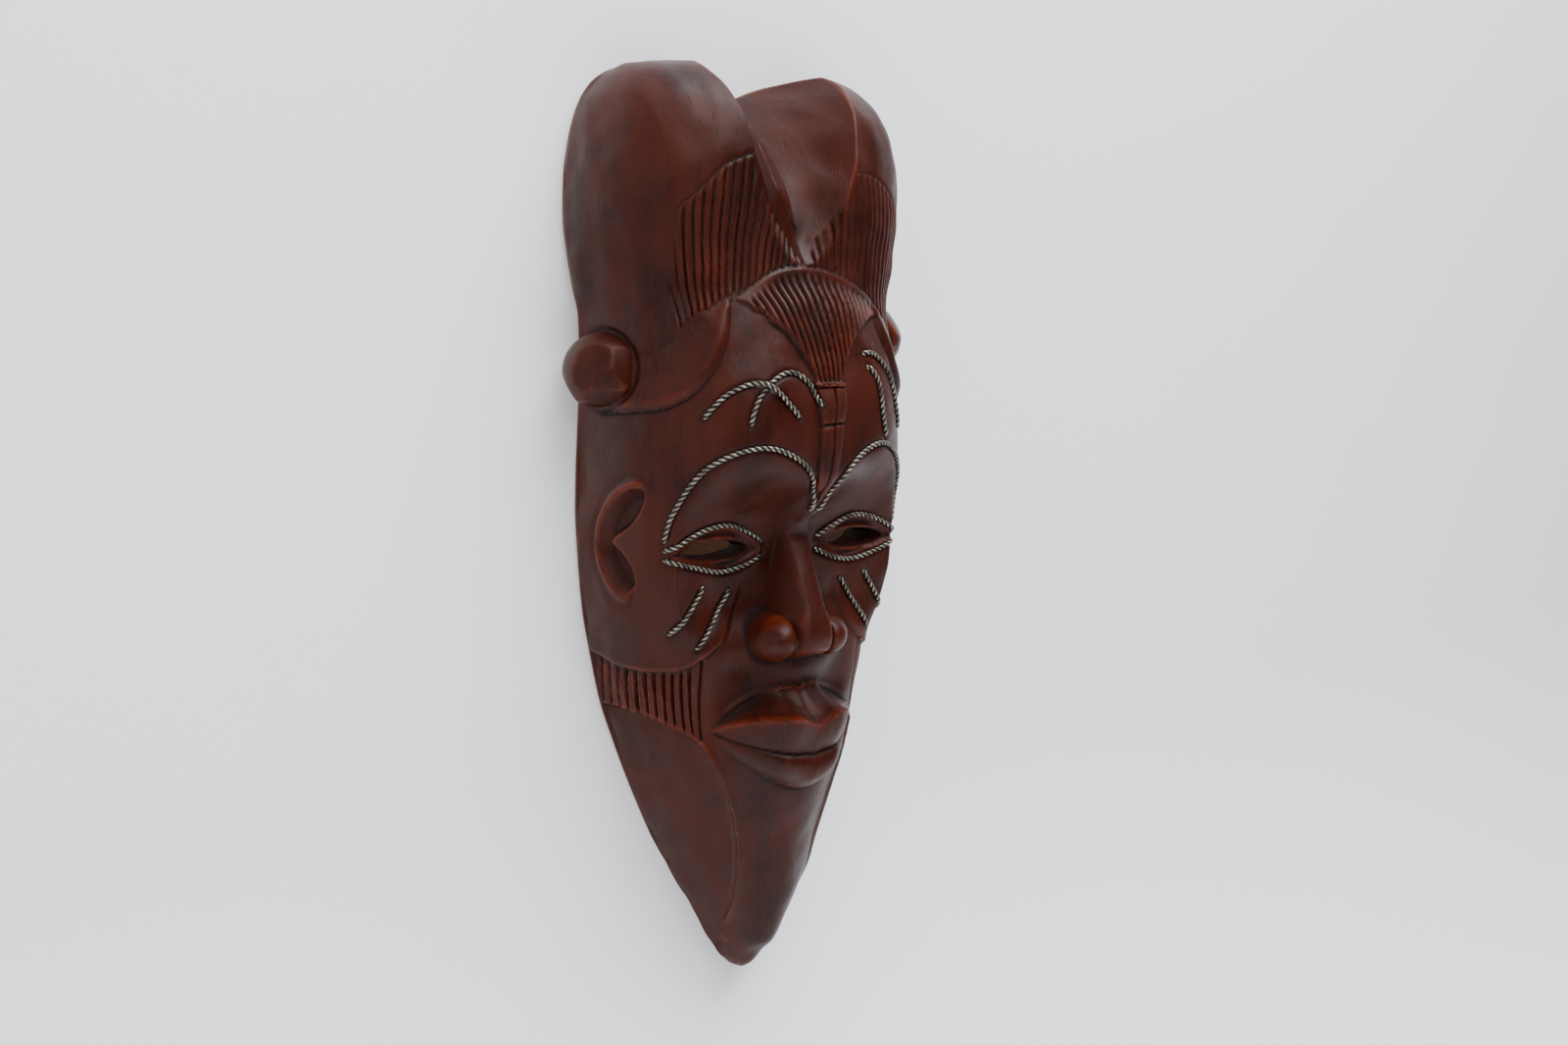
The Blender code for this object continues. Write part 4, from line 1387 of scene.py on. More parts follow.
@dataclass
class CarvedHead:
    """The whole carving: one block with its face, hair, headdress, hollow and hanger pocket."""

    block: Block
    carving: Carving
    inlays: Inlays
    columns: int = 470
    row_step: float = 0.82
    crowding: float = 0.25
    buns: dict[Side, tuple[float, float, float]] = field(default_factory=lambda: {
        Side.LEFT: (70.0, 19.5, 275.0), Side.RIGHT: (72.0, 18.0, 290.0)})
    bun_radius: float = 16.3
    pocket_half: float = 15.0
    pocket_depth: float = 6.5
    pocket_corner: float = 4.0
    pocket_span: tuple[float, float] = (280.0, 322.0)
    pilot_radius: float = 1.4
    pilot_heights: tuple[float, float] = (295.0, 288.8)
    # proudness given inside the eye slits, so that the painted crease shade darkens their walls
    slit_flare: float = 1.15
    slit_shade_proud: float = -0.2
    slit_inside: float = 1.17
    slit_rim: float = 1.35
    sharp_angle: float = math.radians(50)
    narrow_rounds: int = 7
    wide_rounds: int = 90
    bun_groove: float = 0.9
    bun_facets: int = 15
    route_step: float = 0.6
    route_rounds: int = 12
    front: Front = field(init=False)
    points: Array = field(init=False)
    normals: Array = field(init=False)
    inlay_ring: Array = field(init=False)
    wire_routes: dict[str, tuple[Array, Array]] = field(init=False)
    piece: bpy.types.Object = field(init=False)

    def lay_out(self) -> Array:
        """Set out the front as a grid on the uncarved block.

        Returns:
            The half length of each section, shaped for broadcasting over the grid.
        """
        step = self.row_step * 1
        columns = self.columns // 1
        heights = np.concatenate([np.arange(0, 24, 0.9 * step), np.arange(24, 90, 1.35 * step),
                                  np.arange(90, 372, step), np.arange(372, 403, 0.9 * step),
                                  [TOP_HEIGHT]])
        even = np.linspace(-1, 1, columns)
        shares = (1 - self.crowding) * even + self.crowding * even**3
        widths, depths, powers = (Fair(self.block.half_widths)(heights),
                                  Fair(self.block.depths)(heights),
                                  Fair(self.block.squareness)(heights))
        rows = [self.block.arch(*row, shares) for row in zip(widths, depths, powers)]
        x, depth, s = (np.array(part) for part in zip(*rows))
        tall = np.repeat(heights[:, None], columns, axis=1)
        self.front = Front(s, tall, x, depth, np.zeros_like(s), np.zeros_like(s))
        return s[:, -1:]

    def settle(self) -> None:
        """Move the front out by its rise, and find its new points and normals."""
        g = self.front
        flat = np.stack([g.x, -g.depth, g.h], axis=-1)
        if not np.any(g.rise):
            self.points = flat
        else:
            self.points = self.points + self.normals * g.rise[..., None]
            g.rise = np.zeros_like(g.rise)
        across = np.gradient(self.points, axis=1)
        upward = np.gradient(self.points, axis=0)
        self.normals = unit(np.cross(across, upward))

    def carve(self) -> None:
        """Cut every feature of the front, from the large forms to the fine ones."""
        half_arc = self.lay_out()
        g, cut = self.front, self.carving
        cut.under_brow(g)
        cut.muzzle(g)
        cut.nose(g)
        cut.lips(g)
        cut.eyes(g, curve(self.inlays.eye_upper, 2), curve(self.inlays.eye_lower, 2))
        cut.notch(g)
        self.settle()
        cut.cheek_folds(g)
        cut.jaw(g, half_arc)
        cut.temple_rolls(g)
        cut.crown(g)
        cut.hand_work(g)
        g.rise *= ease(0.3, 3.0, half_arc - g.m)
        self.settle()
        cut.ears(g)
        cut.beard(g)
        cut.lobe_strands(g)
        cut.braid(g)
        self.seat_buns()
        g.rise *= ease(0.3, 2.0, half_arc - g.m)
        self.settle()
        self.wire_routes = {name: self.on_wood(points) for name, points
                            in self.inlays.routes().items()}
        cut.wire_beds(g, [route for route, _ in self.wire_routes.values()], self.points)
        self.settle()

    def seat_buns(self) -> None:
        """Cut a groove round the foot of each hair bun."""
        for side, (x, depth, height) in self.buns.items():
            offset = self.points - np.array([side.value * x, -depth, height])
            offset[..., 1] *= self.bun_radius / (depth - 0.5)
            away = np.linalg.norm(offset, axis=-1)
            self.front.rise -= self.bun_groove * bump(away - self.bun_radius - 0.8, 1.2)

    def on_wood(self, points: Stations) -> tuple[Array, Array]:
        """Route of a wire on the carved surface.

        Args:
            points: (x, height) points of the route.

        Returns:
            Evenly spaced points on the wood, in millimetres with y forward negative, and
            the outward normals there.
        """
        flat = curve(points, self.route_step)
        rows = np.interp(flat[:, 1], self.front.h[:, 0], np.arange(len(self.front.h)))
        places, normals = [], []
        for (x, _), row in zip(flat, rows):
            low = min(int(row), len(self.points) - 2)
            share = row - low
            for values, made in ((self.points, places), (self.normals, normals)):
                below, above = (np.array([np.interp(x, self.points[i][:, 0], column)
                                          for column in values[i].T]) for i in (low, low + 1))
                made.append((1 - share) * below + share * above)
        route, normals = np.array(places), np.array(normals)
        for _ in range(self.route_rounds):
            for line in (route, normals):
                line[1:-1] = 0.5 * line[1:-1] + 0.25 * (line[:-2] + line[2:])
        return route, unit(normals)

    def skin(self) -> bpy.types.Mesh:
        """Closed mesh of the carved front and the hollow back.

        Returns:
            The closed mesh.
        """
        g = self.front
        shares = np.linspace(-1, 1, 65)
        backs = []
        for height in g.h[:, 0]:
            x, depth = self.block.hollow(float(height), shares)
            backs.append(np.stack([x, -depth, np.full(len(x), height)], axis=-1))
        back = np.array(backs)
        scoop = -back[..., 1]
        gouge = 0.85 * scallops(back[..., 0] * 1.2, back[..., 2], 9, 20, 41)
        gouge += 0.5 * waves(back[..., 0], back[..., 2], 30, 42)
        inside = ease(1.0, 8.0, scoop)
        back[..., 1] += gouge * inside
        ring = np.concatenate([self.points, back], axis=1)
        self.inlay_ring = np.concatenate([g.inlay, np.zeros(back.shape[:2])], axis=1)
        return rings("carved_head", lowered(ring))

    def bun(self, side: Side) -> bpy.types.Mesh:
        """Whittled ball of hair at one side.

        Args:
            side: the side it stands on.

        Returns:
            The closed mesh.
        """
        x, depth, height = self.buns[side]
        tall = np.linspace(0, math.pi, 62)[1:-1, None]
        round_it = full_turn(96)[None]
        way = np.stack([np.sin(tall) * np.cos(round_it), np.sin(tall) * np.sin(round_it),
                        -np.cos(tall) * np.ones_like(round_it)], axis=-1)
        facets = np.zeros(way.shape[:2]) + 9.0
        draw = np.random.default_rng(51 + side.value)
        for _ in range(self.bun_facets):
            face = draw.normal(size=3)
            face /= np.linalg.norm(face)
            reach = draw.uniform(0.84, 0.94)
            facets = np.minimum(facets, reach / np.clip(way @ face, 1e-3, None))
        whittled = np.minimum(1.0, facets)
        size = self.bun_radius * (0.35 + 0.65 * whittled)
        places = way * size[..., None] * np.array([1, (depth - 0.5) / self.bun_radius, 1])
        places += np.array([side.value * x, -depth, height - DATUM_HEIGHT])
        return rings(f"bun_{side.name.lower()}", places * MM)

    def openings(self) -> list[bpy.types.Mesh]:
        """Tools that cut through: eye slits, the gap between the lobes, the hanger's pocket.

        Returns:
            Closed cutting tools.
        """
        made = []
        wide, tall = self.carving.eye_half
        turn = full_turn(80)
        lens = np.sign(np.sin(turn)) * np.abs(np.sin(turn)) ** 1.25
        for side in Side:
            outline = np.stack([side.value * self.carving.eye_x + wide * np.cos(turn),
                                self.carving.eye_height + tall * lens], axis=1)
            made.append(extruded(f"eye_slit_{side.name.lower()}", outline,
                                 ((12, 1.0), (90, self.slit_flare))))
        edge = curve([(0, 389.6), (2.9, 391.6), (8, 394.5), (16, 398), (26, 401.3), (36, 403.3),
                      (40, 406)], 0.8)
        outline = np.vstack([edge[::-1] * (-1, 1), edge[1:]])
        made.append(extruded("lobe_gap", outline, ((-4, 1.0), (90, 1.0))))
        made.append(self.pocket())
        circle = full_turn(32)
        for number, height in enumerate(self.pilot_heights):
            outline = np.stack([self.pilot_radius * np.cos(circle),
                                height + self.pilot_radius * np.sin(circle)], axis=1)
            made.append(extruded(f"pilot_{number}", outline,
                                 ((self.pocket_depth - 1, 1.0), (16.5, 1.0))))
        return made

    def pocket(self) -> bpy.types.Mesh:
        """Round-cornered pocket with a chiselled floor.

        Returns:
            The closed cutting tool.
        """
        low, high = self.pocket_span
        corner, turns = self.pocket_corner, np.linspace(0, math.pi / 2, 7)
        outline = []
        for quarter, (right, top) in enumerate(((1, 1), (0, 1), (0, 0), (1, 0))):
            x = (self.pocket_half - corner) * (1 if right else -1)
            h = (high if top else low) + (-corner if top else corner)
            outline += [(x + corner * math.cos(t + quarter * math.pi / 2),
                         h + corner * math.sin(t + quarter * math.pi / 2)) for t in turns]
        levels = ((-3.0, 1.0), (self.pocket_depth - 0.6, 1.0), (self.pocket_depth - 0.15, 0.985),
                  (self.pocket_depth, 0.955))
        return extruded("pocket", np.array(outline), levels)

    def build(self) -> None:
        """Carve the front, close the block, add the buns and cut the openings."""
        self.carve()
        mesh = self.skin()
        self.piece = piece_from("carved_head", mesh)
        vertex_values(mesh, "inlay", self.inlay_ring.ravel())
        combine(self.piece, [self.bun(side) for side in Side], "UNION")
        combine(self.piece, self.openings(), "DIFFERENCE")
        mesh = self.piece.data
        mesh.shade_smooth()
        narrow, wide = proudness(mesh, (self.narrow_rounds, self.wide_rounds))
        inside_slits = self.around_slits(mesh, self.slit_inside)
        # painted shade: inside the slits the proudness is set to a sunk value, so the crease shade
        # darkens the slit walls
        narrow[inside_slits] = self.slit_shade_proud
        wide[inside_slits] = self.slit_shade_proud
        vertex_values(mesh, "proud", narrow)
        vertex_values(mesh, "wide_proud", wide)
        vertex_values(mesh, "back", self.backness(mesh))
        mesh.set_sharp_from_angle(angle=self.sharp_angle)

    def around_slits(self, mesh: bpy.types.Mesh, reach: float) -> Array:
        """Which vertices lie within a multiple of an eye slit's size from its middle.

        Args:
            mesh: the mesh that is asked about.
            reach: multiple of the slit size.

        Returns:
            True for each vertex that close.
        """
        places, _, _ = vertex_arrays(mesh)
        wide, tall = self.carving.eye_half
        across = (np.abs(places[:, 0]) / MM - self.carving.eye_x) / wide
        upward = (places[:, 2] / MM + DATUM_HEIGHT - self.carving.eye_height) / tall
        return np.hypot(across, upward) < reach

    def backness(self, mesh: bpy.types.Mesh) -> Array:
        """1 on the unstained wood of the back, 0 on the front.

        Args:
            mesh: the finished mesh.

        Returns:
            The share of bare wood at each vertex.
        """
        places, normals, _ = vertex_arrays(mesh)
        x, y, height = (places[:, 0] / MM, -places[:, 1] / MM, places[:, 2] / MM + DATUM_HEIGHT)
        half = Fair(self.block.half_widths)(height) - self.block.rim
        deep = Fair(self.block.hollow_depths)(height)
        power = self.block.hollow_squareness
        share = np.clip(1 - np.abs(x / half.clip(1)) ** power, 0, 1) ** (1 / power)
        low, high = self.block.hollow_depths[0][0], self.block.hollow_depths[-1][0]
        scooped = (y < deep * share + 1.2) & (height > low) & (height < high) & (np.abs(x) < half)
        pocket = (np.abs(x) < self.pocket_half + 1) & (y < self.pocket_depth + 10)
        pocket &= (height > self.pocket_span[0] - 1) & (height < self.pocket_span[1] + 1)
        rim = (y < 0.4) & (normals[:, 1] > 0.6)
        stained = self.around_slits(mesh, self.slit_rim)
        stained |= (height > TOP_HEIGHT - 1.5) | (height < 1.0)
        return ((scooped | pocket | rim) & ~stained).astype(float)

    def dress(self, effects: Effects) -> None:
        """Finish the carving and hang it on the mask's body.

        Args:
            effects: the shared effects.
        """
        self.piece.data.materials.clear()
        self.piece.data.materials.append(WOOD.made(effects))
        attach(self.piece, "mask")
        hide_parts("carved_body")
        LOG.info("carved_head: %d faces", len(self.piece.data.polygons))


# ---------------------------------------------------------------- the twisted wires

@dataclass
class TwistedWires:
    """Two strands twisted together and pressed into the wood along each route."""

    head: CarvedHead
    strand_radius: float = 0.56
    lay: float = 5.2
    sides: int = 9
    stations_per_lay: int = 13
    proud: float = 0.28
    crossing_lift: float = 2.0
    crossing_reach: float = 5.5
    end_dip: float = 1.1
    end_reach: float = 2.6
    end_taper: float = 0.72
    pieces: list[tuple[bpy.types.Object, str]] = field(default_factory=list)

    def centre(self, name: str) -> tuple[Array, Array]:
        """Centreline and normals of one wire, evenly spaced, in millimetres.

        Args:
            name: name of the wire's node.

        Returns:
            Points and outward normals, one to a row.
        """
        route, normals = self.head.wire_routes[name]
        lift = np.full(len(route), self.proud)
        if name == self.head.inlays.rider:
            x, height = self.head.inlays.crossing
            away = np.hypot(route[:, 0] - x, route[:, 2] - height)
            lift += self.crossing_lift * bump(away, self.crossing_reach)
        along = lengths_along(route)
        ends = np.minimum(along, along[-1] - along)
        lift -= self.end_dip * (1 - ease(0, self.end_reach, ends))
        route = route + normals * lift[:, None]
        count = max(8, round(along[-1] / self.lay * self.stations_per_lay))
        at = np.linspace(0, along[-1], count)
        spaced, facing = (np.stack([np.interp(at, along, column) for column in rows.T], axis=1)
                          for rows in (route, normals))
        return spaced, facing

    def strand(self, centre: Array, facing: Array, start: float) -> tuple[Array, Array]:
        """Rings of one strand, and how hidden each of their points is.

        Args:
            centre: the wire's centreline.
            facing: the outward normals along it.
            start: angle at which this strand starts.

        Returns:
            Ring points in millimetres, and a value from 0 outside to 1 between the strands.
        """
        run = unit(np.gradient(centre, axis=0))
        across = unit(np.cross(run, facing))
        outward = np.cross(across, run)
        turn = start + 2 * math.pi * lengths_along(centre) / self.lay
        offset = self.strand_radius * (np.cos(turn)[:, None] * outward
                                       + np.sin(turn)[:, None] * across)
        path = centre + offset
        way = unit(np.gradient(path, axis=0))
        first = unit(np.cross(way, outward))
        second = np.cross(first, way)
        angle = full_turn(self.sides)
        taper = np.ones(len(path))
        taper[[0, -1]] = self.end_taper
        spokes = (np.cos(angle)[None, :, None] * second[:, None]
                  + np.sin(angle)[None, :, None] * first[:, None])
        round_points = path[:, None] + spokes * (self.strand_radius * taper)[:, None, None]
        gap = round_points - centre[:, None]
        away = np.linalg.norm(gap - np.einsum("ijk,ik->ij", gap, run)[..., None] * run[:, None],
                              axis=-1)
        seat = np.einsum("ijk,ik->ij", gap, facing) / (2 * self.strand_radius)
        hidden = 1 - away / (2 * self.strand_radius)
        return round_points, np.clip(hidden + 0.6 * np.clip(-seat, 0, 1), 0, 1)

    def build(self) -> None:
        """Twist every wire."""
        for name in self.head.wire_routes:
            centre, facing = self.centre(name)
            joined, hidden = [], []
            for start in (0.0, math.pi):
                points, shade = self.strand(centre, facing, start)
                joined.append(rings(f"{name}_strand", lowered(points[:, ::-1])))
                hidden.append(shade[:, ::-1].ravel())
            work = bmesh.new()
            for mesh in joined:
                work.from_mesh(mesh)
                bpy.data.meshes.remove(mesh)
            mesh = bpy.data.meshes.new(f"twisted_{name}")
            work.to_mesh(mesh)
            work.free()
            mesh.shade_smooth()
            vertex_values(mesh, "lay", np.concatenate(hidden))
            self.pieces.append((piece_from(f"twisted_{name}", mesh), name))

    def dress(self, effects: Effects) -> None:
        """Finish every wire and fix it to the mask.

        Args:
            effects: the shared effects.
        """
        finish = WIRE.made(effects)
        for piece, node in self.pieces:
            piece.data.materials.append(finish)
            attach(piece, "mask")
            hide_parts(node)
            LOG.info("%s: %d faces", piece.name, len(piece.data.polygons))


# ---------------------------------------------------------------- the hanger

@dataclass
class Hanger:
    """Bent strap, D-ring and two screws in the pocket at the back."""

    barrel_height: float = 301.0
    barrel_depth: float = 3.0
    barrel_radius: float = 1.9
    barrel_half: float = 4.5
    sheet: float = 1.0
    strap_half: float = 5.0
    strap_foot: float = 284.5
    strap_middle: float = 5.6
    ring_wire: float = 2.2
    ring_half: float = 8.0
    ring_length: float = 17.0
    ring_corner: float = 2.2
    screw_drops: tuple[float, float] = (6.0, 12.2)
    head_radius: float = 2.3
    head_height: float = 1.4
    head_wall: float = 0.45
    shank_radius: float = 1.2
    shank_length: float = 10.0
    threads: int = 9
    thread_root: float = 0.80
    cross_half: float = 1.35
    cross_slot: float = 0.27
    cross_flare: float = 0.62
    sheet_edge: float = 0.22
    sharp_angle: float = math.radians(38)
    pieces: list[tuple[bpy.types.Object, str, str, DrawnMetal]] = field(default_factory=list)

    def strap_line(self) -> Array:
        """Side view of the strap's middle: a flat plate that rolls round the ring's bar.

        Returns:
            (depth, height) points from the foot to the end of the roll.
        """
        plate = [(self.strap_middle, h) for h in np.linspace(self.strap_foot, 296.4, 26)]
        bend = curve([(self.strap_middle, 296.4), (5.55, 298.0), (5.2, 299.6)], 0.35)[1:]
        turns = np.linspace(math.radians(-22), math.radians(262), 40)
        roll = [(self.barrel_depth + self.barrel_radius * math.cos(t),
                 self.barrel_height + self.barrel_radius * math.sin(t)) for t in turns]
        return np.vstack([plate, bend, roll])

    def strap(self) -> bpy.types.Mesh:
        """Strap of sheet metal with rounded edges and a rounded foot.

        Returns:
            The closed mesh.
        """
        line = self.strap_line()
        run = unit(np.gradient(line, axis=0))
        normal = np.stack([-run[:, 1], run[:, 0]], axis=1)
        width = np.where(line[:, 1] < 297.5, self.strap_half, self.barrel_half).astype(float)
        for _ in range(4):
            width[1:-1] = 0.25 * (width[:-2] + 2 * width[1:-1] + width[2:])
        foot = np.clip((line[:, 1] - self.strap_foot) / 3.5, 0, 1)
        flat = np.arange(len(line)) < 30
        width = np.where(flat, width * (0.35 + 0.65 * np.sqrt(1 - (1 - foot) ** 2)), width)
        half, edge = self.sheet / 2, self.sheet_edge
        rows = []
        for (depth, height), (nd, nh), wide in zip(line, normal, width):
            outer = [(-wide, half - edge), (-wide + edge, half), (-wide * 0.5, half), (0, half),
                     (wide * 0.5, half), (wide - edge, half), (wide, half - edge)]
            section = outer + [(-x, -off) for x, off in outer]
            rows.append([(x, -(depth + nd * off), height + nh * off - DATUM_HEIGHT)
                         for x, off in section])
        return rings("hanger_strap_bent", np.array(rows) * MM)

    def ring(self) -> bpy.types.Mesh:
        """D-shaped wire ring, its straight bar on the hinge axis.

        Returns:
            The closed mesh.
        """
        arc, legs = self.ring_half, self.ring_length - self.ring_wire / 2 - self.ring_half
        corner = self.ring_corner
        outline = [(x, 0.0) for x in np.linspace(-arc + corner, arc - corner, 16)]
        outline += [(arc - corner + corner * math.sin(t), -corner + corner * math.cos(t))
                    for t in np.linspace(0, math.pi / 2, 9)[1:]]
        outline += [(arc, -h) for h in np.linspace(3, legs, 7)[:-1]]
        outline += [(arc * math.cos(t), -legs - arc * math.sin(t))
                    for t in np.linspace(0, math.pi, 49)]
        outline += [(-arc, -h) for h in np.linspace(legs, 3, 7)[1:]]
        outline += [(-arc + corner - corner * math.cos(t), -corner + corner * math.sin(t))
                    for t in np.linspace(0, math.pi / 2, 9)[:-1]]
        line = np.array(outline)
        run = unit(np.roll(line, -1, axis=0) - np.roll(line, 1, axis=0))
        inward = np.stack([run[:, 1], -run[:, 0]], axis=1)
        angle = full_turn(24)
        radius = self.ring_wire / 2
        rows = []
        for (x, h), (ix, ih) in zip(line, inward):
            rows.append([(x + radius * math.cos(a) * ix, -self.barrel_depth + radius * math.sin(a),
                          h + radius * math.cos(a) * ih + self.barrel_height - DATUM_HEIGHT)
                         for a in angle])
        return rings("hanger_ring", np.array(rows)[:, ::-1] * MM, closed=True)

    def screw(self, number: int, height: float) -> bpy.types.Mesh:
        """Pan-head wood screw with a cross recess and a coarse thread.

        Args:
            number: number of the screw, for its name.
            height: height of its axis.

        Returns:
            The closed mesh.
        """
        seat = self.strap_middle - self.sheet / 2 - 0.05
        wall = self.head_wall
        dome = [(self.head_radius * math.cos(t),
                 seat - wall - (self.head_height - wall) * math.sin(t))
                for t in np.linspace(math.radians(86), 0, 12)]
        profile = dome + [(self.head_radius, seat - 0.12), (self.head_radius - 0.12, seat),
                          (self.shank_radius, seat + 0.02)]
        for turn in range(self.threads):
            start = seat + 1.2 + turn * (self.shank_length - 2.2) / self.threads
            slim = 1.0 - 0.35 * (turn / self.threads) ** 2
            root = self.thread_root * self.shank_radius * slim
            profile += [(root, start), (self.shank_radius * slim, start + 0.42),
                        (root, start + 0.72)]
        profile.append((0.12, seat + self.shank_length))
        angle = full_turn(48)
        rows = [[(r * math.cos(a), -depth, height - DATUM_HEIGHT + r * math.sin(a)) for a in angle]
                for r, depth in profile]
        return rings(f"hanger_screw_pan_{number}", np.array(rows)[:, ::-1] * MM)

    def recess(self, height: float, tilt: float) -> list[bpy.types.Mesh]:
        """Two crossed bars that cut the recess of a screw head.

        Args:
            height: height of the screw's axis.
            tilt: angle of the cross in radians.

        Returns:
            The two cutting tools.
        """
        seat = self.strap_middle - self.sheet / 2
        made = []
        for turn in (tilt, tilt + math.pi / 2):
            corners = np.array([(-1, -1), (1, -1), (1, 1), (-1, 1)]) * (self.cross_half,
                                                                       self.cross_slot)
            swing = np.array([[math.cos(turn), math.sin(turn)], [-math.sin(turn), math.cos(turn)]])
            outline = corners @ swing + (0, height)
            made.append(extruded("recess", outline,
                                 ((seat - 3.0, 1.0), (seat - 0.75, self.cross_flare))))
        return made

    def build(self) -> None:
        """Make the strap, the ring and the screws."""
        strap = piece_from("hanger_strap_bent", self.strap())
        ring = piece_from("hanger_ring", self.ring())
        self.pieces = [(strap, "hanger_strap", "mask", BRASS),
                       (ring, "hanging_ring", "ring", BRASS)]
        for number, drop in enumerate(self.screw_drops, 1):
            height = self.barrel_height - drop
            screw = piece_from(f"hanger_screw_pan_{number}", self.screw(number, height))
            combine(screw, self.recess(height, 0.35 * number), "DIFFERENCE")
            self.pieces.append((screw, f"hanger_screw_{number}", "mask", STEEL))

    def dress(self, effects: Effects) -> None:
        """Finish the hanger; the ring rides on its own body.

        Args:
            effects: the shared effects.
        """
        finishes = {finish.name: finish.made(effects) for finish in (BRASS, STEEL)}
        for piece, node, body, finish in self.pieces:
            mesh = piece.data
            mesh.shade_smooth()
            (narrow,) = proudness(mesh, (4,))
            vertex_values(mesh, "proud_dark", np.clip(-narrow * 6, 0, 1))
            mesh.set_sharp_from_angle(angle=self.sharp_angle)
            mesh.materials.clear()
            mesh.materials.append(finishes[finish.name])
            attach(piece, body)
            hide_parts(node)
            LOG.info("%s: %d faces", piece.name, len(mesh.polygons))


# ---------------------------------------------------------------- the studio

@dataclass(frozen=True)
class Lamp:
    """Soft square lamp: where it stands, the length of its side, its power and its colour."""

    name: str
    place: tuple[float, float, float]
    size: float
    power: float
    colour: tuple[float, float, float]

    def hang(self, aim: Vector) -> None:
        """Put the lamp into the scene.

        Args:
            aim: the point that it faces.
        """
        light = bpy.data.lights.new(self.name, "AREA")
        light.shape = "SQUARE"
        light.size = self.size
        light.energy = self.power
        light.color = self.colour
        lamp = bpy.data.objects.new(self.name, light)
        lamp.location = Vector(self.place)
        lamp.rotation_euler = (Vector(self.place) - aim).to_track_quat("Z", "Y").to_euler()
        bpy.context.scene.collection.objects.link(lamp)


LAMPS = (Lamp("sky", (0.25, -0.62, 1.25), 1.2, 54.0, (0.96, 0.98, 1.0)),
         Lamp("front_fill", (-0.45, -1.25, 0.75), 0.9, 9.0, (1.0, 0.98, 0.95)),
         Lamp("left_fill", (-1.3, -0.6, 0.25), 0.9, 5.0, (0.95, 0.97, 1.0)),
         Lamp("back_light", (-0.40, 1.30, 0.35), 1.0, 17.0, (1.0, 0.98, 0.95)))


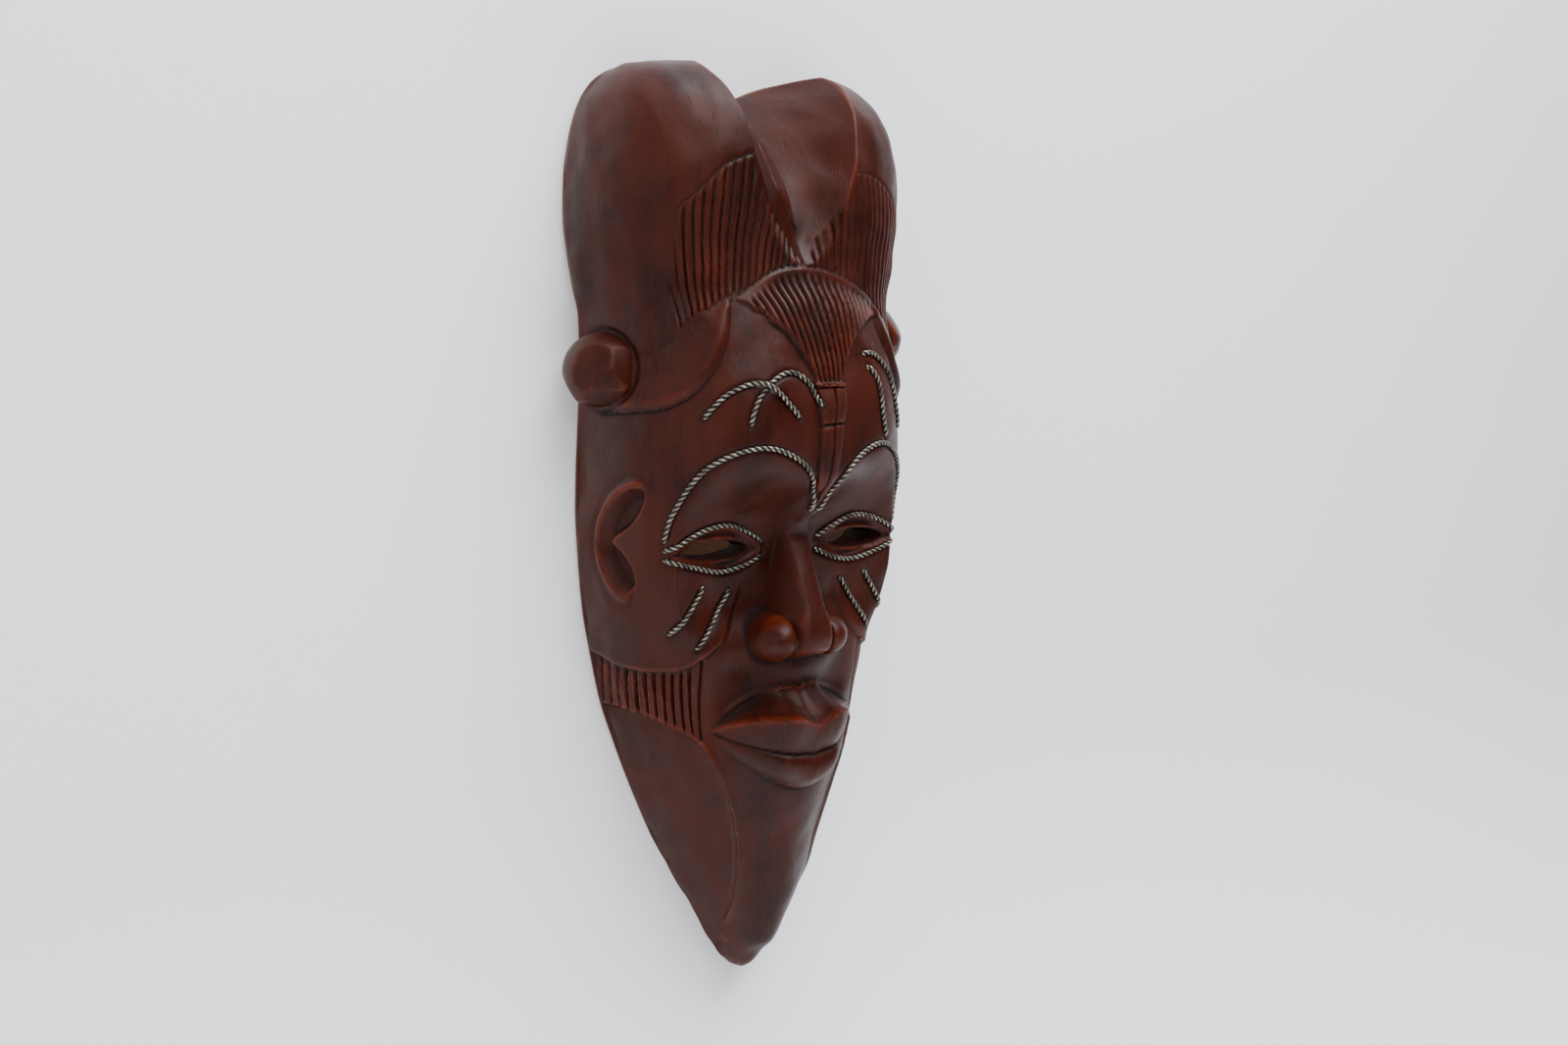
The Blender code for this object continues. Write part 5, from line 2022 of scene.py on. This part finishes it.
@dataclass(frozen=True)
class Studio:
    """Pale wall and floor, soft lights, and the camera."""

    wall_gap: float = 0.0015
    floor_drop: float = 0.16
    reach: float = 2.6
    cove: float = 0.25
    lens: float = 33.75
    azimuth: float = 36.707
    elevation: float = 7.52
    roll: float = 0.676
    eye: tuple[float, float, float] = (-374.738, 554.555, 293.555)
    sensor_width: float = 36.0
    wall_colour: Colour = (0.89, 0.90, 0.91, 1)
    wall_roughness: float = 0.9
    lit_middle: tuple[float, float, float] = (0, -0.03, -0.13)
    daylight: Colour = (0.86, 0.91, 1.0, 1)
    daylight_strength: float = 0.18

    def backdrop(self) -> None:
        """Wall and floor in one sheet with a cove between; its back lets the view through."""
        floor = CAD_BOX[0][2] - self.floor_drop
        turn = np.linspace(0, math.pi / 2, 17)
        profile = [(-self.reach, floor)]
        profile += [(self.wall_gap - self.cove + self.cove * math.sin(t),
                     floor + self.cove - self.cove * math.cos(t)) for t in turn]
        profile.append((self.wall_gap, floor + self.reach))
        across = np.linspace(-self.reach, self.reach, 3)
        points = np.array([[(x, y, z) for x in across] for y, z in profile])
        count = len(across)
        quads = [[i * count + j, i * count + j + 1, (i + 1) * count + j + 1, (i + 1) * count + j]
                 for i in range(len(profile) - 1) for j in range(count - 1)]
        mesh = mesh_from("backdrop", points.reshape(-1, 3), np.array(quads).ravel(),
                         np.full(len(quads), 4))
        sheet_piece = piece_from("backdrop", mesh)
        material = bpy.data.materials.new("pale_plaster")
        material.use_nodes = True
        sheet = Sheet(material.node_tree)
        shader = material.node_tree.nodes["Principled BSDF"]
        shader.inputs["Base Color"].default_value = self.wall_colour
        shader.inputs["Roughness"].default_value = self.wall_roughness
        clear = sheet.node("BsdfTransparent")
        hidden = sheet.math("MAXIMUM", sheet.node("NewGeometry").outputs["Backfacing"],
                            sheet.node("LightPath").outputs["Is Shadow Ray"])
        blend = sheet.node("MixShader", {0: hidden, 1: shader.outputs[0], 2: clear.outputs[0]})
        sheet.feed(material.node_tree.nodes["Material Output"].inputs["Surface"], blend.outputs[0])
        mesh.materials.append(material)

    def lights(self) -> None:
        """Overcast sky from above in front, a weaker fill, and light for the back."""
        for lamp in LAMPS:
            lamp.hang(Vector(self.lit_middle))
        world = bpy.data.worlds.new("soft_daylight")
        world.use_nodes = True
        background = world.node_tree.nodes["Background"]
        background.inputs["Color"].default_value = self.daylight
        background.inputs["Strength"].default_value = self.daylight_strength
        bpy.context.scene.world = world

    def camera(self) -> None:
        """Camera at the viewing angle, slightly above and to the left."""
        data = bpy.data.cameras.new("view")
        data.lens = self.lens
        data.sensor_width = self.sensor_width
        data.clip_start = 0.01
        camera = bpy.data.objects.new("view", data)
        bpy.context.scene.collection.objects.link(camera)
        turn, tilt, roll = (math.radians(v) for v in (self.azimuth, self.elevation, self.roll))
        back = Vector((-math.sin(turn) * math.cos(tilt), -math.cos(turn) * math.cos(tilt),
                       math.sin(tilt)))
        right = Vector((math.cos(turn), -math.sin(turn), 0))
        up = back.cross(right)
        across = math.cos(roll) * right + math.sin(roll) * up
        above = math.cos(roll) * up - math.sin(roll) * right
        frame_axes = Matrix((across, above, back)).transposed().to_4x4()
        camera.matrix_world = Matrix.Translation(spot(*self.eye)) @ frame_axes
        bpy.context.scene.camera = camera

    def build(self) -> None:
        """Set up the studio."""
        self.camera()
        self.backdrop()
        self.lights()


def main() -> None:
    """Build the mask, dress every piece and set up the studio."""
    logging.basicConfig(level=logging.INFO, format="%(name)s %(message)s")
    Studio().build()
    effects = Effects()
    head = CarvedHead(Block(), Carving(), Inlays())
    wires = TwistedWires(head)
    hanger = Hanger()
    for part in (head, wires, hanger):
        part.build()
        part.dress(effects)


if __name__ == "__main__":
    main()
